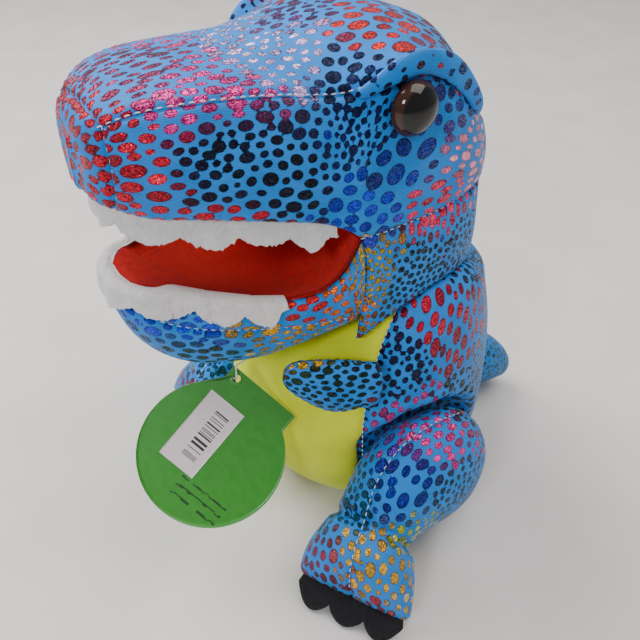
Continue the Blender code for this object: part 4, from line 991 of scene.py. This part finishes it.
brow_path = []
for y, z, puff in BROW:
    near = max(cheek_half(y + dy, z + dz) for dy in (-puff, 0, puff) for dz in (-puff, 0, puff))
    brow_path.append((near + 1.2 + 0.2 * puff, y, z, puff))
brow_path = through(np.array(brow_path), 3.0, 0)
middle, puff = brow_path[:, :3], brow_path[:, 3:]
run = unit(np.gradient(middle, axis=0))
out = unit(np.array([1.0, 0, 0]) - run[:, :1] * run)
over = np.cross(run, out)
turn = np.linspace(0, 2 * math.pi, 17)[:, None, None]
tube = middle + puff * (np.cos(turn) * out * 0.8 + np.sin(turn) * over * 1.15)
tube = np.moveaxis(np.concatenate([tube[:, :1] * 0 + middle[0], tube, tube[:, :1] * 0 + middle[-1]], 1), 0, 1)
tube = np.roll(tube[:, :-1], 8, 1)
tube = np.concatenate([tube, tube[:, :1]], 1)
for side, name in ((1, "left"), (-1, "right")):
    points = tube * [side, 1, 1]
    half = points.shape[1] // 2
    outward = points[len(points) // 2, half] - points[len(points) // 2].mean(0)
    piece = sewn_panel(
        "brow_velour_" + name, points, outward, "uU", printed_velour, rise=0.8, step=0.7, fill=0.85
    )
    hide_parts("brow_fold_" + name)
    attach(piece, "head")


# Legs -------------------------------------------------------------------------------------------
# Each leg is an outer and an inner panel of printed velour, stuffed, sewn flat to the hip, and tied in at the
# ankle, where the cloth gathers before the foot. The right foot points more to the front.
LEG_SECTIONS = (
    ((66.0, 16.2, 38.0), (0.0, -1.0, 0.0), 0.2, 0.3),
    ((66.0, 15.0, 38.0), (0.0, -1.0, 0.0), 5.0, 8.0),
    ((66.5, 11.0, 39.0), (0.0, -1.0, 0.0), 12.0, 19.0),
    ((67.0, 1.0, 40.5), (0.0, -1.0, 0.0), 18.0, 27.5),
    ((68.0, -13.0, 41.5), (0.0, -1.0, -0.05), 20.5, 31.0),
    ((68.0, -27.0, 41.5), (0.03, -1.0, -0.1), 21.0, 30.5),
    ((69.0, -40.0, 38.5), (0.1, -1.0, -0.4), 20.5, 25.0),
    ((71.0, -50.0, 33.5), (0.25, -1.0, -0.55), 18.5, 18.5),
    ((73.5, -56.0, 30.0), (0.4, -1.0, -0.6), 18.5, 17.5),
    ((77.0, -62.5, 25.5), (0.5, -1.0, -0.75), 22.5, 20.0),
    ((81.0, -69.0, 19.5), (0.5, -1.0, -0.85), 25.5, 16.5),
    ((84.3, -74.0, 13.8), (0.5, -1.0, -0.8), 26.8, 10.0),
    ((86.0, -76.5, 11.0), (0.5, -1.0, -0.6), 26.5, 4.5),
    ((86.3, -77.2, 10.0), (0.5, -1.0, -0.6), 26.0, 0.2),
)
RIGHT_TURN_IN, FIRST_TURNED, LAST_TURNED, ANKLE = 27.0, 5, 9, 8


def leg_sections(side):
    """The sections with their unit run, wide and tall directions. On the right they turn in about the
    upright line through the thigh, by a share of 27 degrees that grows from the thigh to the foot."""
    thigh, made = Vector(LEG_SECTIONS[FIRST_TURNED][0]), []
    for place, (centre, run, half_width, half_height) in enumerate(LEG_SECTIONS):
        share = min(max((place - FIRST_TURNED) / (LAST_TURNED - FIRST_TURNED), 0.0), 1.0) * (side < 0)
        turn = Matrix.Rotation(math.radians(-RIGHT_TURN_IN * share), 3, "Z")
        run = (turn @ Vector(run)).normalized()
        wide = run.cross(Vector((0, 0, 1))).normalized() * -1
        tall = wide.cross(run).normalized()
        tall = tall if tall.z > 0 else -tall
        made.append((thigh + turn @ (Vector(centre) - thigh), run, wide, tall, half_width, half_height))
    return made


def leg_ring(section, count=21):
    """An ellipse square to the leg's run, kept off the hip and the floor."""
    centre, _, wide, tall, half_width, half_height = section
    turn = np.linspace(0, 2 * math.pi, count)[:, None]
    ring = np.array(centre) + np.array(tall) * half_height * np.cos(turn)
    ring = ring + np.array(wide) * half_width * np.sin(turn)
    return np.maximum(ring, [HIP_X + SKIN + GAP, -999.0, 1.9])


def ankle_gathers(side):
    """A fold function: a groove 2.6 mm deep and 5 mm wide round the ankle, with gathers running out."""
    centre, run = leg_sections(side)[ANKLE][:2]
    centre, run = np.array(centre) * [side, 1, 1], np.array(run) * [side, 1, 1]

    def fold(points, far, along):
        away = (points - centre) @ run
        round_it = np.arctan2(points[..., 0] - centre[0], points[..., 2] - centre[2])
        gathers = 0.8 * np.sin(13 * round_it + 2 * np.sin(3 * round_it)) * np.exp(-((away / 7.0) ** 2))
        return (gathers - 2.6 * np.exp(-((away / 2.8) ** 2))) * (points[..., 2] > 4.0)

    return fold


for side, name in ((1, "left"), (-1, "right")):
    rings = np.array([leg_ring(s) for s in leg_sections(side)]) * [side, 1, 1]
    for cover, points, way in (("outer", rings[:, :11], side), ("inner", rings[:, 10:], -side)):
        piece = sewn_panel(
            "leg_velour_%s_%s" % (cover, name), points, (way, 0, 0), "UvV", printed_velour,
            step=0.9, rise=1.6, fold=ankle_gathers(side),
        )
        stuffing = ["leg_%s_stuffing" % name] if cover == "outer" else []
        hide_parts("leg_%s_%s_panel" % (name, cover), *stuffing)
        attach(piece, "leg_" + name)
    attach(stitches("leg_stitches_" + name, rings[3:12, 0], (0, -0.4, 1)), "leg_" + name)


# Toes -------------------------------------------------------------------------------------------
# A double ply of black craft felt, cut in three round lobes and caught in the seam across the end of each
# foot.
TOE_REACH, TOE_WIDTH, TOE_PLY, TOE_SLOPE = 15.5, 54.0, 3.0, -0.82
black_felt = felt_of("black_toe_felt", "#1B1B1D", 0.7, 1.7)
for side, name in ((1, "left"), (-1, "right")):
    centre, run = leg_sections(side)[-2][:2]
    flat = np.array((run[0], run[1], 0.0))
    flat /= np.linalg.norm(flat)
    wide = np.array((-flat[1], flat[0], 0.0))
    ahead = flat + [0, 0, TOE_SLOPE]
    ahead /= np.linalg.norm(ahead)
    across = np.linspace(-1, 1, 91)[:, None]
    share = np.linspace(0, 1, 21)[None]
    lobe = np.abs(np.sin(1.5 * math.pi * (across + 1.0))) ** 0.7
    reach = -1.0 + (1.0 + (0.60 + 0.40 * lobe) * TOE_REACH * (1 - np.abs(across) ** 6 * 0.45)) * share
    spread = across * (0.93 + 0.07 * share) * TOE_WIDTH / 2
    points = np.array(centre) + ahead * reach[..., None] + wide * spread[..., None]
    points = points * [side, 1, 1]
    normals = facing(points, (0, 0, 1))
    edge = np.minimum((1 - share) * TOE_REACH, share * 0 + 9)
    edge = np.minimum(edge, (1 - np.abs(across)) * TOE_WIDTH / 2)
    half = 0.5 + (TOE_PLY / 2 - 0.5) * np.sqrt(1 - (1 - np.clip(edge / 1.6, 0, 1)) ** 2)
    half = half + 0.12 * lumps(points * 3)
    outer = points + normals * half[..., None]
    outer[..., 2] = np.maximum(outer[..., 2], 0.7)
    piece = grid_piece("toe_felt_piece_" + name, outer, normals, 2 * half, black_felt)
    low = np.empty(len(piece.data.vertices) * 3)
    piece.data.vertices.foreach_get("co", low)
    low[2::3] = np.maximum(low[2::3], 0.0001)
    piece.data.vertices.foreach_set("co", low)
    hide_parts("toe_felt_" + name)
    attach(piece, "leg_" + name)


# Arms -------------------------------------------------------------------------------------------
# Small flat flaps of two printed panels, lightly stuffed, with their straight edge caught in the belly seam.
ARM_ROOT, ARM_POINTING = (54.5, -44.5, 104.0), (-0.6, -0.8, 0.05)
ARM_SECTIONS = (
    (-2.6, -0.6, 0.0, 0.02), (-2.0, -13.0, 12.0, 0.5), (4.0, -14.0, 13.0, 0.75),
    (12.0, -17.0, 13.5, 1.0), (20.0, -16.5, 13.0, 1.0),
    (28.0, -12.0, 12.0, 0.9), (35.0, -6.0, 10.0, 0.7), (38.5, -1.0, 6.0, 0.3), (39.3, 2.3, 2.7, 0.02),
)
pointing = Vector(ARM_POINTING).normalized()
arm_face = -pointing.cross(Vector((0, 0, 1))).normalized()
arm_up = arm_face.cross(pointing).normalized()
arm_up = arm_up if arm_up.z > 0 else -arm_up
turn = np.linspace(0, 2 * math.pi, 17)
tall = np.sign(np.cos(turn)) * np.abs(np.cos(turn)) ** 0.8
reach, low, high, puff = (np.array(c)[:, None, None] for c in zip(*ARM_SECTIONS))
rings = np.array(ARM_ROOT) + np.array(pointing) * reach
rings = rings + np.array(arm_up) * ((low + high) / 2 + (high - low) / 2 * tall[None, :, None])
rings = rings + np.array(arm_face) * (3.4 * puff * np.sin(turn)[None, :, None])
for side, name in ((1, "left"), (-1, "right")):
    for cover, points in (("front", rings[:, :9]), ("back", rings[:, 8:])):
        points = points * [side, 1, 1]
        across = points[4, 4] - (points[4, 0] + points[4, 8]) / 2
        piece = sewn_panel(
            "arm_velour_%s_%s" % (cover, name), points, across, "UvV", printed_velour, rise=1.3, step=0.7
        )
        stuffing = ["arm_%s_stuffing" % name] if cover == "front" else []
        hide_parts("arm_%s_%s_panel" % (name, cover), *stuffing)
        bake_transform(piece)


# Tail -------------------------------------------------------------------------------------------
# A short stuffed stub of two printed panels, turned a little to the left, in a round socket in the back.
TAIL_SECTIONS = (
    (47.0, 0.0, 31.0, 21.0, 23.0), (52.0, 0.0, 31.0, 22.2, 24.0), (64.0, 1.5, 29.5, 21.5, 23.5),
    (76.0, 5.0, 26.5, 18.5, 20.5), (87.0, 10.0, 22.0, 13.5, 15.5), (95.0, 14.5, 18.0, 7.5, 9.0),
    (98.0, 16.5, 16.5, 2.5, 3.0), (98.8, 16.8, 16.0, 0.1, 0.1),
)
turn = np.linspace(0, 2 * math.pi, 17)
y, x, z, wide, tall = (np.array(c)[:, None] for c in zip(*TAIL_SECTIONS))
rings = np.stack([x + wide * np.sin(turn), y + 0 * turn, z + tall * np.cos(turn)], -1)
for name, points, side in (("left", rings[:, :9], 1), ("right", rings[:, 8:], -1)):
    piece = sewn_panel("tail_velour_" + name, points, (side, 0, 0), "UvV", printed_velour, step=0.9)
    stuffing = ["tail_stuffing"] if side > 0 else []
    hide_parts("tail_panel_" + name, *stuffing)
    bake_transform(piece)


# Hang tag ---------------------------------------------------------------------------------------
# A round two-leaf tag of coated card with a square neck at the fold, green outside and white inside, and
# a paper sticker on the front leaf. Its print is only plain lines and bars. It hangs on a clear nylon
# fastener.
TAG_RADIUS, TAG_CARD, TAG_HOLE_RADIUS = 34.0, 0.5, 1.8
TAG_HOLE, TAG_FACING = (8.0, -86.5, 95.5), (0.70, -0.38, 0.60)
NECK, FOLD, HOLE_SHARE = 0.54, 1.12, (-0.40, 1.0)
tag_out = Vector(TAG_FACING).normalized()
level = Vector((0, 0, 1)).cross(tag_out).normalized()
upright = tag_out.cross(level).normalized()
tag_across, tag_up = np.array((level - upright).normalized()), np.array((level + upright).normalized())
tag_out = np.array(tag_out)
tag_middle = np.array(TAG_HOLE) - (tag_across * HOLE_SHARE[0] + tag_up * HOLE_SHARE[1]) * TAG_RADIUS


def on_tag(across, up, out):
    """The place of points given across, up and out from the middle of the tag's disc."""
    return tag_middle + tag_across * across[..., None] + tag_up * up[..., None] + tag_out * out


def leaf_outline(count):
    """The card's edge round its middle: the disc, or where the neck reaches further, the neck's straight
    sides."""
    a = np.linspace(0, 2 * math.pi, count)
    fold = (FOLD * TAG_RADIUS - 0.3) / np.maximum(np.sin(a), 1e-6)
    side = NECK * TAG_RADIUS / np.maximum(np.abs(np.cos(a)), 1e-6)
    r = np.where(np.sin(a) > 0, np.maximum(np.minimum(fold, side), TAG_RADIUS), TAG_RADIUS)
    return np.stack([r * np.cos(a), r * np.sin(a)], -1), np.stack([np.cos(a), np.sin(a)], -1)


def printed_card(name, colour, ink, lines):
    """Coated card: paper grain in tone and gloss, and, in the given box of the leaf, rows of short plain
    dashes."""
    made, tree, shader = finish_of(name, colour, 0.38, Coat_Weight=0.25, Coat_Roughness=0.2)
    place = node(tree, "TexCoord").outputs["Object"]
    grain = node(tree, "TexNoise", place, Scale=260.0, Detail=4.0)
    base = toned(tree, colour, grain, 0.93, 1.05)
    flat = node(tree, "SeparateXYZ", node(tree, "UVMap", uv_map="cloth"))
    u, v = flat.outputs["X"], flat.outputs["Y"]
    row = node(tree, "Math", node(tree, "Math", v, 2.2, operation="DIVIDE"), operation="FLOOR")
    rest = node(tree, "Math", v, 2.2, operation="PINGPONG")
    dash = node(tree, "Math", u, 2.3, operation="DIVIDE")
    cell = node(tree, "Math", dash, operation="FLOOR")
    pair = node(tree, "CombineXYZ", cell, row, 0.0)
    chance = node(tree, "TexWhiteNoise", pair)
    marks = node(tree, "Math", chance, 0.28, operation="GREATER_THAN")
    thin = node(tree, "Math", rest, 1.55, operation="GREATER_THAN")
    on = node(tree, "Math", marks, thin, operation="MULTIPLY")
    sides = zip((u, u, v, v), lines, ("GREATER_THAN", "LESS_THAN") * 2)
    for socket, limit, way in sides:
        inside = node(tree, "Math", socket, limit, operation=way)
        on = node(tree, "Math", on, inside, operation="MULTIPLY")
    shown = node(tree, "MixRGB", on, base, linear(ink))
    rough = node(tree, "MapRange", grain, 0.3, 0.7, 0.33, 0.46)
    bump = node(tree, "Bump", Strength=0.08, Distance=0.0002, Height=grain)
    wire(shader, Base_Color=shown, Roughness=rough, Normal=bump)
    return made


green_card = printed_card("coated_green_card", "#2C861C", "#123C0E", (-4.0, 22.0, -25.0, -15.0))
white_card = printed_card("coated_white_card", "#E4E4E0", "#55565A", (-14.0, 12.0, -24.0, -12.0))
edge, centre_line = leaf_outline(181)
share = np.linspace(0, 1, 31)[:, None, None]
hole_at = np.array(HOLE_SHARE) * TAG_RADIUS
flat = (hole_at + centre_line * TAG_HOLE_RADIUS) * (1 - share) + edge * share
for name, stands_for, out, card, slot, body in (
    ("green_tag_leaf", "tag_front_leaf", 0.3 + TAG_CARD, green_card, "green_card", "tag_front"),
    ("white_tag_leaf", "tag_back_leaf", -0.3, white_card, "white_card", "tag_back"),
):
    points = on_tag(flat[..., 0], flat[..., 1], out)
    normals = np.broadcast_to(tag_out, points.shape)
    piece = grid_piece(name, points, normals, TAG_CARD, card, flat)
    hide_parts(stands_for)
    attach(piece, body)
STICKER = (37.0, 19.5, 0.15)
sticker_paper, tree, shader = finish_of("matt_label_paper", "#DACCCB", 0.5)
place = node(tree, "TexCoord").outputs["Object"]
flat_map = node(tree, "SeparateXYZ", node(tree, "UVMap", uv_map="cloth"))
u, v = flat_map.outputs["X"], flat_map.outputs["Y"]
cell = node(tree, "Math", node(tree, "Math", u, 0.42, operation="DIVIDE"), operation="FLOOR")
chance = node(tree, "TexWhiteNoise", noise_dimensions="1D", W=cell)
ink = node(tree, "Math", chance, 0.48, operation="GREATER_THAN")
for socket, limit, way in zip((u, u, v, v), (6.0, 31.0, 4.0, 11.5), ("GREATER_THAN", "LESS_THAN") * 2):
    inside = node(tree, "Math", socket, limit, operation=way)
    ink = node(tree, "Math", ink, inside, operation="MULTIPLY")
fibres = node(tree, "TexNoise", place, Scale=700.0, Detail=3.0)
paper = toned(tree, "#DACCCB", fibres, 0.94, 1.04)
shown = node(tree, "MixRGB", ink, paper, linear("#2A2326"))
bump = node(tree, "Bump", Strength=0.1, Distance=0.0001, Height=fibres)
wire(shader, Base_Color=shown, Normal=bump)
u, v = np.meshgrid(np.linspace(0, STICKER[0], 45), np.linspace(0, STICKER[1], 25), indexing="ij")
points = on_tag(-9.5 + STICKER[1] / 2 - v, 4.5 - STICKER[0] / 2 + u, 0.3 + TAG_CARD + 0.1 + STICKER[2])
normals = np.broadcast_to(tag_out, points.shape)
piece = grid_piece("bar_label", points, normals, STICKER[2], sticker_paper, np.stack([u, v], -1))
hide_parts("barcode_sticker")
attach(piece, "tag_front")
clear_nylon, tree, shader = finish_of("clear_nylon", "#E8ECEA", 0.22, Transmission_Weight=0.4)
shader.inputs["IOR"].default_value = 1.53
haze = node(tree, "TexNoise", node(tree, "TexCoord").outputs["Object"], Scale=800.0)
rough = node(tree, "MapRange", haze, 0.3, 0.7, 0.16, 0.3)
wire(shader, Roughness=rough)
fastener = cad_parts["nylon_fastener"]
fastener.data.materials.clear()
fastener.data.materials.append(clear_nylon)
